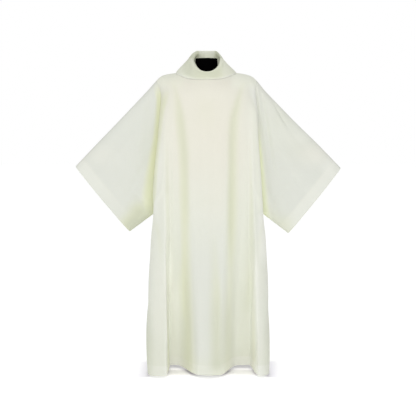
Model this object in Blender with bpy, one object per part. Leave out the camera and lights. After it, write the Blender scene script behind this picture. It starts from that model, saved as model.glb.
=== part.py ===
"""A long ivory alb with wide sleeves and a folded cowl collar, standing filled out
on a limbless dress form. Metres, +Z up, the front faces -Y, and the origin is on
the floor under the stand's pole.

Each piece of cloth is a grid of points worked out from the tables below, given its
thickness by a Solidify modifier. Pieces meet at their seams with a small gap. Left
and right are as seen from the front.
"""

import math

import bmesh
import bpy
import numpy as np
from mathutils import Vector
from mathutils.bvhtree import BVHTree

# ---------------------------------------------------------------- sizes, in metres
CLOTH = 0.0016  # wall of the cloth
SEAM_GAP = 0.0006  # half of the gap between two panels at a seam
HEM_Z = 0.012  # the hem clears the floor by this
UNDERARM_Z = 0.762  # where the sleeve's lower edge meets the side seam
YOKE_Z = 1.315  # the highest level section; above it the cloth rolls over the shoulder

# The shoulder seams, from the neckline out to the top of the armhole
SHOULDER_LEFT = [(-0.086, 1.4360), (-0.120, 1.4315), (-0.151, 1.4275), (-0.186, 1.4225),
                 (-0.2126, 1.4160), (-0.229, 1.4065), (-0.2412, 1.3945)]
SHOULDER_RIGHT = [(0.070, 1.4360), (0.106, 1.4315), (0.138, 1.4275), (0.170, 1.4225),
                  (0.1937, 1.4165), (0.213, 1.4070), (0.2270, 1.3945)]
NECK_X = -0.008  # middle of the neckline
NECK_HALF = 0.078
NECK_FRONT_Y = -0.079
NECK_FRONT_Z = 1.4115
NECK_BACK_Y = 0.066
NECK_BACK_Z = 1.4300

# Level sections through the body of the alb, from the hem up. left and right are
# the outline seen from the front, tuck is how far the side seam lies inside it, gap
# is half the opening between front and back at the armhole, front and back are how
# far the cloth stands out, and square is the exponent of the section's rounding.
SECTIONS = [
    # z,      left,  right,  tuck,  gap,    front,  back,  square
    (HEM_Z, 0.293, 0.295, 0.034, 0.0000, 0.206, 0.188, 8.0),
    (0.200, 0.295, 0.294, 0.032, 0.0000, 0.198, 0.180, 6.6),
    (0.450, 0.288, 0.291, 0.026, 0.0000, 0.186, 0.169, 5.0),
    (0.650, 0.277, 0.280, 0.018, 0.0000, 0.175, 0.158, 4.2),
    (UNDERARM_Z, 0.2655, 0.2680, 0.0145, 0.0000, 0.168, 0.152, 4.0),
    (0.795, 0.2620, 0.2635, 0.0190, 0.0105, 0.167, 0.151, 4.0),
    (0.850, 0.2585, 0.2590, 0.0270, 0.0180, 0.164, 0.148, 4.0),
    (1.000, 0.2475, 0.2485, 0.0295, 0.0260, 0.158, 0.143, 3.9),
    (1.150, 0.2375, 0.2375, 0.0240, 0.0320, 0.151, 0.137, 3.7),
    (1.250, 0.2310, 0.2310, 0.0155, 0.0360, 0.143, 0.131, 3.2),
    (YOKE_Z, 0.2215, 0.2225, 0.0025, 0.0380, 0.132, 0.122, 2.7),
]
SECTION_COLUMNS = ("z", "left", "right", "tuck", "gap", "front", "back", "square")

# The long vertical valleys between the ridges of cloth. Each has an edge, a floor
# and an edge again, read from left to right, at the chest and at the hem. depth is
# how far the floor lies behind the section at the chest and at the hem.
FRONT_VALLEYS = [
    # name,   edge at chest/hem, floor from,      floor to,        edge,             depth at chest/hem
    ("left", -0.200, -0.1935, -0.184, -0.1865, -0.150, -0.146, -0.088, -0.034, 0.011, 0.152),
    ("groove", -0.004, -0.002, 0.022, 0.016, 0.026, 0.020, 0.050, 0.038, 0.001, 0.005),
    ("right", 0.088, 0.048, 0.150, 0.136, 0.186, 0.204, 0.202, 0.236, 0.011, 0.150),
]
BACK_VALLEYS = [
    ("left", -0.190, -0.216, -0.150, -0.184, -0.128, -0.142, -0.085, -0.096, 0.004, 0.100),
    ("middle", -0.055, -0.046, -0.015, -0.016, 0.010, 0.022, 0.050, 0.052, 0.004, 0.076),
    ("right", 0.092, 0.104, 0.130, 0.146, 0.150, 0.184, 0.192, 0.216, 0.004, 0.104),
]
VALLEY_TOP_Z = 1.31  # the valleys start here
VALLEY_GROWTH = 2.1  # and deepen towards the hem with this power

# Each sleeve is a flat tube from the armhole to a straight cuff, cut square to its
# top edge. The corners of the cuff, seen from the front:
SLEEVES = [
    # name,   side, top x, top z, bottom x, bottom z
    ("sleeve_left", -1, 0.6375, 0.9825, 0.3730, 0.6725),
    ("sleeve_right", 1, 0.6390, 0.9785, 0.3890, 0.6640),
]
SLEEVE_HALF_DEPTH = 0.044  # half the tube's depth in the middle of the sleeve
CUFF_HALF_DEPTH = 0.036  # and at the cuff
SLEEVE_START = 0.0018  # the sleeve starts this far from the armhole edge
UNDERARM_RISE = 0.012  # its lowest point starts this far above the side seam

# The collar is one strip folded over: a stand inside, from the neckline up to the
# rim, and a fall outside, from the rim down to the free edge on the shoulders.
# Each row is one of its rings: middle, half width, how far it reaches forward and
# back, its height at the front, the side and the back, and its rounding.
COLLAR_RINGS = [
    # ring,        middle,  half,   front y, back y, front z, side z, back z, square
    ("stand low", -0.0070, 0.0745, -0.0800, 0.0640, 1.4160, 1.4560, 1.4620, 2.0),
    ("stand high", -0.0050, 0.0675, -0.0815, 0.0640, 1.4225, 1.4780, 1.5000, 2.1),
    ("rim inside", -0.0045, 0.0610, -0.0825, 0.0650, 1.4275, 1.4930, 1.5300, 2.2),
    ("rim", -0.0060, 0.0640, -0.0855, 0.0680, 1.4305, 1.4985, 1.5355, 2.2),
    ("rim outside", -0.0090, 0.0700, -0.0890, 0.0715, 1.4295, 1.4985, 1.5315, 2.2),
    ("fall high", -0.0115, 0.0880, -0.0930, 0.0800, 1.4235, 1.4830, 1.5060, 2.1),
    ("fall middle", -0.0115, 0.1095, -0.0965, 0.0890, 1.4155, 1.4640, 1.4750, 2.0),
    ("fall low", -0.0105, 0.1300, -0.0990, 0.0960, 1.4070, 1.4440, 1.4400, 2.0),
]
COLLAR_EDGE = ("fall edge", -0.0095, 0.1420, -0.1000, 0.1000, 0.0, 0.0, 0.0, 2.0)
COLLAR_LIFT = 0.0030  # the fall's edge lies this far off the shoulders

# The dress form inside the cloth: rings from the flat base of the torso to the
# flat top of the neck, which shows in the collar.
FORM_X = -0.007
FORM_RINGS = [
    # z,    half width, front y, back y, square
    (0.760, 0.150, -0.104, 0.104, 2.3),
    (0.785, 0.163, -0.112, 0.112, 2.3),
    (0.860, 0.168, -0.114, 0.116, 2.3),
    (0.950, 0.152, -0.100, 0.104, 2.3),
    (1.020, 0.146, -0.096, 0.098, 2.3),
    (1.120, 0.160, -0.108, 0.104, 2.3),
    (1.220, 0.172, -0.116, 0.108, 2.4),
    (1.290, 0.180, -0.106, 0.104, 2.4),
    (1.340, 0.176, -0.090, 0.096, 2.3),
    (1.372, 0.156, -0.076, 0.086, 2.2),
    (1.396, 0.112, -0.064, 0.070, 2.1),
    (1.414, 0.074, -0.057, 0.057, 2.0),
    (1.434, 0.0580, -0.0520, 0.0520, 2.0),
    (1.460, 0.0525, -0.0500, 0.0500, 2.0),
    (1.4950, 0.0520, -0.0495, 0.0495, 2.0),
]
POLE_R = 0.0125
BASE_R = 0.115
BASE_THICK = 0.010
GAP = 0.0004  # between hard pieces that rest on each other

# How finely the grids are cut
YOKE_ROWS = 5  # rows above the yoke
ARMHOLE_SHARES = (0.0, 0.17, 0.34, 0.51, 0.66, 0.79, 0.90, 0.965, 1.0)
SKIRT_ROWS = 7  # rows below the underarm
FRONT_COLUMNS = (2, 3, 3, 2, 3, 3, 1, 1, 1, 2, 3, 2, 3, 3, 2)
BACK_COLUMNS = (2, 3, 3, 1, 3, 1, 3, 2, 3, 1, 3, 1, 3, 3, 2)
SLEEVE_ALONG = 9
COLLAR_AROUND = 42
FORM_AROUND = 32


# ---------------------------------------------------------------- small functions
def smooth(t):
    t = np.clip(t, 0.0, 1.0)
    return t * t * (3.0 - 2.0 * t)


def through(xs, ys, x):
    """A smooth curve through the points (xs, ys) with no overshoot."""
    xs, ys = np.asarray(xs, float), np.asarray(ys, float)
    if xs[0] > xs[-1]:
        xs, ys = xs[::-1], ys[::-1]
    step = np.diff(xs)
    slope = np.diff(ys) / step
    m = np.zeros(len(xs))
    m[0], m[-1] = slope[0], slope[-1]
    for i in range(1, len(xs) - 1):
        if slope[i - 1] * slope[i] > 0:
            a, b = 2 * step[i] + step[i - 1], step[i] + 2 * step[i - 1]
            m[i] = (a + b) / (a / slope[i - 1] + b / slope[i])
    i = np.clip(np.searchsorted(xs, x) - 1, 0, len(step) - 1)
    t = (np.clip(x, xs[0], xs[-1]) - xs[i]) / step[i]
    return (
        ys[i] * (1 + 2 * t) * (1 - t) ** 2
        + m[i] * step[i] * t * (1 - t) ** 2
        + ys[i + 1] * t * t * (3 - 2 * t)
        + m[i + 1] * step[i] * t * t * (t - 1)
    )


def section(z):
    """The body's section at height z, as a dict of the table's columns."""
    rows = np.array(SECTIONS, float)
    return {
        name: float(through(rows[:, 0], rows[:, k], z))
        for k, name in enumerate(SECTION_COLUMNS)
    }


def share_down(z):
    """0 where the valleys start, 1 at the hem."""
    return float(np.clip((VALLEY_TOP_Z - z) / (VALLEY_TOP_Z - HEM_Z), 0.0, 1.0))


def valley_edges(valley, z):
    """The four x positions of a valley at height z. Its walls are softest at the chest."""
    q = smooth(share_down(z))
    a, b, c, d = [valley[1 + 2 * k] * (1 - q) + valley[2 + 2 * k] * q for k in range(4)]
    room = 0.45 * (c - b) * (1.0 - smooth((share_down(z) - 0.30) / 0.45))
    return [a - 0.35 * room, b + room, c - 0.5 * room, d + 0.35 * room]


def valley_depth(valley, x, z):
    a, b, c, d = valley_edges(valley, z)
    q = share_down(z)
    depth = valley[9] * smooth(5 * q) + (valley[10] - valley[9]) * q**VALLEY_GROWTH
    return depth * (smooth((x - a) / (b - a)) - smooth((x - c) / (d - c)))


def level_curve(z, facing, valleys, columns):
    """The points of one panel at height z, from the left seam to the right one.
    facing is -1 for the front panel and +1 for the back."""
    cut = section(z)
    reach = cut["front"] if facing < 0 else cut["back"]
    u = np.linspace(-1.0, 1.0, 1601)
    turn = (1.0 - np.abs(u)) * math.pi / 2
    power = 2.0 / cut["square"]
    wide = np.where(u < 0, cut["left"], cut["right"])
    x = np.sign(u) * wide * np.cos(turn) ** power
    out = np.abs(np.sin(turn)) ** power
    # The seam lies inside the outline, so the panel turns in towards it
    gap = max(cut["gap"], SEAM_GAP)
    lift = gap + (reach - gap) * out
    x = x - np.sign(u) * cut["tuck"] * (1.0 - smooth(out / 0.72))
    depth = sum(valley_depth(v, x, z) for v in valleys)
    lift = lift - depth * smooth(out / 0.5)
    # Columns follow the flanks, and the edges of the valleys
    flank = 1.0 - math.asin(0.45 ** (1.0 / power)) * 2 / math.pi
    first, last = int(np.argmin(x)), int(np.argmax(x))
    marks = [-1.0, -flank]
    for v in valleys:
        marks += [
            float(np.interp(e, x[first : last + 1], u[first : last + 1]))
            for e in valley_edges(v, z)
        ]
    marks += [flank, 1.0]
    run = np.concatenate([[0], np.cumsum(np.hypot(np.diff(x), np.diff(lift)))])
    at = []
    for k, count in enumerate(columns):
        ends = np.interp([marks[k], marks[k + 1]], u, run)
        at += list(np.linspace(ends[0], ends[1], count + 1)[:-1])
    at = np.array(at + [run[-1]])
    return np.stack(
        [np.interp(at, run, x), facing * np.interp(at, run, lift), np.full(len(at), z)],
        axis=1,
    )


def top_edge(x, facing):
    """A point of the shoulder seam or the neckline, and the way the cloth leaves it."""
    seam = SHOULDER_LEFT if x < NECK_X else SHOULDER_RIGHT
    from_neck = (x - NECK_X) / NECK_HALF
    if abs(from_neck) > 1.0 - 1e-9:
        z = float(through([p[0] for p in seam], [p[1] for p in seam], x))
        point = np.array([x, facing * SEAM_GAP, z])
        fall = math.radians(12)
    else:
        neck_y, neck_z = (
            (NECK_FRONT_Y, NECK_FRONT_Z) if facing < 0 else (NECK_BACK_Y, NECK_BACK_Z)
        )
        share = math.sqrt(1.0 - from_neck**2)
        point = np.array(
            [
                x,
                facing * SEAM_GAP + neck_y * share,
                seam[0][1] + (neck_z - seam[0][1]) * share**1.5,
            ]
        )
        fall = math.radians(12 + 30 * share)
    return point, np.array([0.0, facing * math.cos(fall), -math.sin(fall)])


def body_levels():
    armhole = [YOKE_Z + (UNDERARM_Z - YOKE_Z) * s for s in ARMHOLE_SHARES]
    skirt = np.linspace(UNDERARM_Z, HEM_Z, SKIRT_ROWS + 1)[1:]
    return armhole + list(skirt)


def body_rows(facing, valleys, columns):
    """The grid of one body panel, row by row from the shoulder to the hem."""
    below = [level_curve(z, facing, valleys, columns) for z in body_levels()]
    yoke, next_row = below[0], level_curve(YOKE_Z - 0.01, facing, valleys, columns)
    run = np.concatenate(
        [[0], np.cumsum(np.linalg.norm(np.diff(yoke, axis=0), axis=1))]
    )
    ends = SHOULDER_LEFT[-1][0], SHOULDER_RIGHT[-1][0]
    across = ends[0] + (ends[1] - ends[0]) * run / run[-1]
    for corner in (NECK_X - NECK_HALF, NECK_X + NECK_HALF):
        across[np.argmin(np.abs(across - corner))] = corner
    above = []
    for k in range(YOKE_ROWS):
        t = k / YOKE_ROWS
        row = []
        for i, x in enumerate(across):
            start, leaves = top_edge(float(x), facing)
            span = np.linalg.norm(yoke[i] - start)
            down = (next_row[i] - yoke[i]) / 0.01
            row.append(
                start * (1 + 2 * t) * (1 - t) ** 2
                + leaves * span * 1.25 * t * (1 - t) ** 2
                + yoke[i] * t * t * (3 - 2 * t)
                + down * span * 1.0 * t * t * (t - 1)
            )
        above.append(np.array(row))
    return above + below


def sleeve_rows(side, cuff, front, back):
    """The grid of one sleeve: rings from the armhole to the cuff. The first ring
    follows the armhole edges of the two body panels."""
    edge, inner = (0, 1) if side < 0 else (-1, -2)
    last = YOKE_ROWS + len(ARMHOLE_SHARES) - 1
    ring = []
    for rows, order in ((front, range(0, last + 1)), (back, range(last - 1, 0, -1))):
        for r in order:
            point = rows[r][edge]
            ends = point - rows[r][inner]
            start = point + ends / np.linalg.norm(ends) * SLEEVE_START
            if r == 0:
                start[1] = 0.0
            if r == last:
                start = point + np.array([side * 0.004, 0.0, UNDERARM_RISE])
                start[1] = 0.0
            ring.append(start)
    ring = np.array(ring)
    down = np.array(ring[: last + 1])
    run = np.concatenate(
        [[0], np.cumsum(np.linalg.norm(np.diff(down, axis=0), axis=1))]
    )
    share = np.concatenate([run, run[-2:0:-1]]) / run[-1]
    top = np.array([side * cuff[0], 0.0, cuff[1]])
    bottom = np.array([side * cuff[2], 0.0, cuff[3]])
    flat_start = ring * np.array([1.0, 0.0, 1.0])
    face = np.array([-1.0] * (last + 1) + [1.0] * (last - 1))
    face[0] = face[last] = 0.0
    rows = []
    for j in range(SLEEVE_ALONG + 1):
        t = (j / SLEEVE_ALONG) ** 1.3
        end = top + (bottom - top) * share[:, None]
        flat = flat_start + (end - flat_start) * t
        lens = np.maximum(0.0, 1 - (2 * share - 1) ** 2) ** 0.45
        full = SLEEVE_HALF_DEPTH + (CUFF_HALF_DEPTH - SLEEVE_HALF_DEPTH) * t
        blend = smooth(t / 0.35)
        half = np.abs(ring[:, 1]) * (1 - blend) + full * lens * blend
        flat[:, 1] = face * np.maximum(half, 0.004 * min(1.0, 8 * t))
        rows.append(flat)
    return rows


def ring_points(middle, half, front, back, z_front, z_side, z_back, square, count):
    """One closed ring round the neck, from the front round to the right."""
    ring = []
    for k in range(count):
        a = 2 * math.pi * k / count
        s, c = math.sin(a), math.cos(a)
        power = 2.0 / square
        x = middle + half * math.copysign(abs(s) ** power, s)
        y = (front if c >= 0 else back) * abs(c) ** power
        if c >= 0:
            z = z_side + (z_front - z_side) * abs(c) ** 1.2
        else:
            z = z_side + (z_back - z_side) * float(smooth(abs(c) / 0.85))
        ring.append([x, y, z])
    return np.array(ring)


def collar_rows(front, back):
    """The collar's rings: the seam at the neckline, then those of the table, then
    the free edge, which lies on the body panels."""
    seam = []
    for k in range(COLLAR_AROUND):
        a = 2 * math.pi * k / COLLAR_AROUND
        x = NECK_X + NECK_HALF * math.sin(a) * 0.998
        point, _ = top_edge(x, -1 if math.cos(a) >= 0 else 1)
        seam.append(point + np.array([0.0, 0.0, 0.0026]))
    rows = [np.array(seam)]
    rows += [ring_points(*sizes, COLLAR_AROUND) for _, *sizes in COLLAR_RINGS]
    rows.append(ring_points(*COLLAR_EDGE[1:], COLLAR_AROUND))
    under = ground(front, back)
    for row in rows[-4:]:
        lift = COLLAR_LIFT * (1.0 if row is rows[-1] else 1.8)
        for point in row:
            point[2] += lacks(point, under, lift)
        # and the straight lines between the points clear the panels too
        for k in range(COLLAR_AROUND):
            one, two = row[k - 1], row[k]
            short = lacks((one + two) / 2, under, lift * 0.8)
            one[2] += short
            two[2] += short
    return rows


def lacks(point, under, lift):
    """How much too low a point is to lie that far off the surface below it."""
    y = math.copysign(max(abs(point[1]), 0.002), point[1])
    hit, normal, _, _ = under.ray_cast(Vector((point[0], y, 2.0)), Vector((0, 0, -1)))
    if hit is None:
        return 0.0
    return max(0.0, hit.z + lift / max(abs(normal.z), 0.25) - point[2])


def ground(*panels):
    """The body panels as one surface that rays can be cast down on."""
    verts, faces = [], []
    for rows in panels:
        first, count = len(verts), len(rows[0])
        verts += [Vector(p) for row in rows for p in row]
        for r in range(len(rows) - 1):
            for i in range(count - 1):
                a = first + r * count + i
                faces.append((a, a + 1, a + count + 1, a + count))
    return BVHTree.FromPolygons(verts, faces)


# ---------------------------------------------------------------- Blender objects
def cleared():
    for obj in list(bpy.data.objects):
        bpy.data.objects.remove(obj, do_unlink=True)


def material(name, colour, roughness, metallic=0.0):
    made = bpy.data.materials.new(name)
    made.use_nodes = True
    shader = made.node_tree.nodes["Principled BSDF"]
    shader.inputs["Base Color"].default_value = (*colour, 1.0)
    shader.inputs["Roughness"].default_value = roughness
    shader.inputs["Metallic"].default_value = metallic
    made.diffuse_color = (*colour, 1.0)
    return made


def placed(name, bm, look):
    bmesh.ops.recalc_face_normals(bm, faces=bm.faces)
    mesh = bpy.data.meshes.new(name)
    bm.to_mesh(mesh)
    bm.free()
    mesh.materials.append(look)
    mesh.shade_smooth()
    mesh.set_sharp_from_angle(angle=math.radians(50))
    obj = bpy.data.objects.new(name, mesh)
    bpy.context.scene.collection.objects.link(obj)
    return obj


def grid(bm, rows, closed):
    """A sheet of faces over rows of points. closed joins each row into a ring."""
    verts = [[bm.verts.new(Vector(p)) for p in row] for row in rows]
    count = len(rows[0])
    for upper, lower in zip(verts[:-1], verts[1:]):
        for i in range(count if closed else count - 1):
            j = (i + 1) % count
            bm.faces.new((upper[i], lower[i], lower[j], upper[j]))
    return verts


def cloth(name, rows, look, closed=False):
    """A piece of cloth: the grid, with its wall made by Solidify."""
    bm = bmesh.new()
    grid(bm, rows, closed)
    obj = placed(name, bm, look)
    wall = obj.modifiers.new("wall", "SOLIDIFY")
    wall.thickness = CLOTH
    wall.offset = 0.0
    wall.use_even_offset = False
    wall.use_rim = True
    return obj


def dress_form(look):
    bm = bmesh.new()
    rows = [
        ring_points(FORM_X, half, front, back, z, z, z, square, FORM_AROUND)
        for z, half, front, back, square in FORM_RINGS
    ]
    verts = grid(bm, rows, True)
    for ring in (verts[0], verts[-1]):
        bm.faces.new(ring)
    return placed("form_torso", bm, look)


def stand(pole_look, base_look):
    bm = bmesh.new()
    low, high = BASE_THICK + GAP, FORM_RINGS[0][0] - GAP
    bmesh.ops.create_cone(
        bm, cap_ends=True, segments=20, radius1=POLE_R, radius2=POLE_R, depth=high - low
    )
    pole = placed("stand_pole", bm, pole_look)
    pole.location = (0.0, 0.0, (low + high) / 2)
    bm = bmesh.new()
    bmesh.ops.create_cone(
        bm, cap_ends=True, segments=40, radius1=BASE_R, radius2=BASE_R, depth=BASE_THICK
    )
    rim = [
        e
        for e in bm.edges
        if all(v.co.z > 0 for v in e.verts) and len(e.link_faces) == 2
    ]
    bmesh.ops.bevel(bm, geom=rim, offset=0.003, segments=2, affect="EDGES")
    base = placed("stand_base", bm, base_look)
    base.location = (0.0, 0.0, BASE_THICK / 2)
    return pole, base


def main():
    cleared()
    ivory = material("ivory_cloth", (0.87, 0.87, 0.79), 0.75)
    black = material("form_cover", (0.012, 0.012, 0.013), 0.85)
    steel = material("pole_steel", (0.55, 0.55, 0.56), 0.35, 1.0)
    dark = material("base_paint", (0.03, 0.03, 0.032), 0.5)
    front = body_rows(-1, FRONT_VALLEYS, FRONT_COLUMNS)
    back = body_rows(1, BACK_VALLEYS, BACK_COLUMNS)
    cloth("front", front, ivory)
    cloth("back", back, ivory)
    for name, side, *cuff in SLEEVES:
        cloth(name, sleeve_rows(side, cuff, front, back), ivory, closed=True)
    cloth("collar", collar_rows(front, back), ivory, closed=True)
    dress_form(black)
    stand(steel, dark)


main()
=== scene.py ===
"""The finish of the alb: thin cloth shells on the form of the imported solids, with
turned-up hems, seam allowances, soft folds, stitch rows and procedural materials,
and a detailed dress form and stand inside. Metres, +Z up, the front faces -Y. Left
and right are as seen from the front. The tables of sizes repeat those of the solids.
"""

import math

import bmesh
import bpy
import numpy as np
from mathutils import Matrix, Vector
from mathutils.bvhtree import BVHTree


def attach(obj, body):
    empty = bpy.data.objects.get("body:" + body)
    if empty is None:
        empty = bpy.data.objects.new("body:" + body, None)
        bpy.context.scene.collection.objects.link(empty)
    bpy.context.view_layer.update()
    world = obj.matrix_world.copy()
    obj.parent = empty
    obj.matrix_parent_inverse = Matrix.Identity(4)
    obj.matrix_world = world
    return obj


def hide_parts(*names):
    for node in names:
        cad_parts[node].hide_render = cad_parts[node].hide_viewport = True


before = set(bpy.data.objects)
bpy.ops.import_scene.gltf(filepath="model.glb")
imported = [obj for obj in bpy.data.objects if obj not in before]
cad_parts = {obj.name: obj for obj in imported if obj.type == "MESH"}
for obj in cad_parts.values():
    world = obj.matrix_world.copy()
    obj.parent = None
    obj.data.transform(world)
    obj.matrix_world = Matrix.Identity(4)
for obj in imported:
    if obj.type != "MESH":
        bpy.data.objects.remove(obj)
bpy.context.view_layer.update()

# ---------------------------------------------------------------- sizes, in metres
SHELL = 0.0008  # one layer of the cloth
FOLD_R = 0.00075  # half the distance between the two layers of a turned hem
HEM_DEPTH = 0.048  # the turned-up hem
CUFF_DEPTH = 0.055
COLLAR_DEPTH = 0.007
ALLOWANCE = 0.009  # the seam allowances inside
SEAM_GAP = 0.0006
HEM_Z = 0.012
UNDERARM_Z = 0.762
YOKE_Z = 1.315

SHOULDER_LEFT = [(-0.086, 1.4360), (-0.120, 1.4315), (-0.151, 1.4275), (-0.186, 1.4225),
                 (-0.2126, 1.4160), (-0.229, 1.4065), (-0.2412, 1.3945)]
SHOULDER_RIGHT = [(0.070, 1.4360), (0.106, 1.4315), (0.138, 1.4275), (0.170, 1.4225),
                  (0.1937, 1.4165), (0.213, 1.4070), (0.2270, 1.3945)]
NECK_X = -0.008
NECK_HALF = 0.078
NECK_FRONT_Y = -0.079
NECK_FRONT_Z = 1.4115
NECK_BACK_Y = 0.066
NECK_BACK_Z = 1.4300

SECTIONS = [
    # z,      left,  right,  tuck,  gap,    front,  back,  square
    (HEM_Z, 0.293, 0.295, 0.034, 0.0000, 0.206, 0.188, 8.0),
    (0.200, 0.295, 0.294, 0.032, 0.0000, 0.198, 0.180, 6.6),
    (0.450, 0.288, 0.291, 0.026, 0.0000, 0.186, 0.169, 5.0),
    (0.650, 0.277, 0.280, 0.018, 0.0000, 0.175, 0.158, 4.2),
    (UNDERARM_Z, 0.2655, 0.2680, 0.0145, 0.0000, 0.168, 0.152, 4.0),
    (0.795, 0.2640, 0.2670, 0.0190, 0.0105, 0.167, 0.151, 4.0),
    (0.850, 0.2665, 0.2645, 0.0270, 0.0180, 0.164, 0.148, 4.0),
    (1.000, 0.2575, 0.2555, 0.0295, 0.0260, 0.158, 0.143, 3.9),
    (1.150, 0.2415, 0.2440, 0.0240, 0.0320, 0.151, 0.137, 3.7),
    (1.250, 0.2325, 0.2395, 0.0155, 0.0360, 0.143, 0.131, 3.2),
    (YOKE_Z, 0.2215, 0.2255, 0.0025, 0.0380, 0.132, 0.122, 2.7),
]
SECTION_COLUMNS = ("z", "left", "right", "tuck", "gap", "front", "back", "square")

FRONT_VALLEYS = [
    # name,   edge at chest/hem, floor from,      floor to,        edge,             depth at chest/hem
    ("left", -0.200, -0.1935, -0.184, -0.1865, -0.150, -0.146, -0.088, -0.034, 0.011, 0.152),
    ("groove", -0.004, -0.002, 0.022, 0.016, 0.026, 0.020, 0.050, 0.038, 0.001, 0.005),
    ("right", 0.088, 0.048, 0.150, 0.136, 0.186, 0.204, 0.202, 0.236, 0.011, 0.150),
]
BACK_VALLEYS = [
    ("left", -0.190, -0.216, -0.150, -0.184, -0.128, -0.142, -0.085, -0.096, 0.004, 0.100),
    ("middle", -0.055, -0.046, -0.015, -0.016, 0.010, 0.022, 0.050, 0.052, 0.004, 0.076),
    ("right", 0.092, 0.104, 0.130, 0.146, 0.150, 0.184, 0.192, 0.216, 0.004, 0.104),
]
VALLEY_FLOOR_LIGHT = {"left": 0.90, "groove": 0.0, "middle": 0.4, "right": 0.10}  # painted light on the valleys' floors: how much each is lit
VALLEY_TOP_Z = 1.31
VALLEY_GROWTH = 2.1
FRONT_COLUMNS = (10, 18, 16, 8, 16, 18, 6, 4, 6, 9, 16, 8, 16, 18, 10)
BACK_COLUMNS = (10, 16, 16, 6, 16, 6, 16, 8, 16, 6, 16, 6, 16, 16, 10)

SLEEVES = [
    # name,   side, top x, top z, bottom x, bottom z
    ("sleeve_left", -1, 0.6345, 0.9870, 0.3785, 0.6715),
    ("sleeve_right", 1, 0.6360, 0.9790, 0.3880, 0.6630),
]
SLEEVE_HALF_DEPTH = 0.044
CUFF_HALF_DEPTH = 0.036
SLEEVE_START = 0.0011
SLEEVE_PAINTED_SHADE_AND_LIGHT = {  # painted shade by the armhole: reach, where it starts and is full, share of painted light, painted shade at the corner
    "sleeve_left": (0.054, 1.400, 1.300, 0.15, 0.95),
    "sleeve_right": (0.024, 1.230, 1.060, 0.95, 0.20),
}

COLLAR_RINGS = [
    # ring,        middle,  half,   front y, back y, front z, side z, back z, square
    ("stand low", -0.0070, 0.0745, -0.0800, 0.0640, 1.4160, 1.4560, 1.4620, 2.0),
    ("stand high", -0.0050, 0.0675, -0.0815, 0.0640, 1.4225, 1.4780, 1.5000, 2.1),
    ("rim inside", -0.0045, 0.0610, -0.0825, 0.0650, 1.4275, 1.4930, 1.5300, 2.2),
    ("rim", -0.0075, 0.0660, -0.0855, 0.0680, 1.4305, 1.4985, 1.5355, 2.2),
    ("rim outside", -0.0100, 0.0735, -0.0890, 0.0715, 1.4295, 1.4985, 1.5315, 2.2),
    ("fall high", -0.0112, 0.0910, -0.0930, 0.0800, 1.4235, 1.4830, 1.5060, 2.1),
    ("fall middle", -0.0115, 0.1095, -0.0965, 0.0890, 1.4155, 1.4640, 1.4750, 2.0),
    ("fall low", -0.0105, 0.1300, -0.0990, 0.0960, 1.4070, 1.4440, 1.4400, 2.0),
]
COLLAR_EDGE = ("fall edge", -0.0095, 0.1420, -0.1000, 0.1000, 0.0, 0.0, 0.0, 2.0)
COLLAR_LIFT = 0.0030

FORM_X = -0.007
FORM_RINGS = [
    # z,    half width, front y, back y, square
    (0.760, 0.150, -0.104, 0.104, 2.3),
    (0.785, 0.163, -0.112, 0.112, 2.3),
    (0.860, 0.168, -0.114, 0.116, 2.3),
    (0.950, 0.152, -0.100, 0.104, 2.3),
    (1.020, 0.146, -0.096, 0.098, 2.3),
    (1.120, 0.160, -0.108, 0.104, 2.3),
    (1.220, 0.172, -0.116, 0.108, 2.4),
    (1.290, 0.180, -0.106, 0.104, 2.4),
    (1.340, 0.176, -0.090, 0.096, 2.3),
    (1.372, 0.156, -0.076, 0.086, 2.2),
    (1.396, 0.112, -0.064, 0.070, 2.1),
    (1.414, 0.074, -0.057, 0.057, 2.0),
    (1.434, 0.0580, -0.0520, 0.0520, 2.0),
    (1.460, 0.0525, -0.0500, 0.0500, 2.0),
    (1.4950, 0.0520, -0.0495, 0.0495, 2.0),
]

YOKE_ROWS = 24
ARMHOLE_ROWS = 66
SKIRT_ROWS = 84
HEM_STEPS = (0.058, 0.054, 0.0505, 0.0485, 0.047, 0.046, 0.045, 0.0435, 0.041, 0.036,
             0.030, 0.024, 0.018, 0.012, 0.007, 0.003, 0.0)

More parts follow.
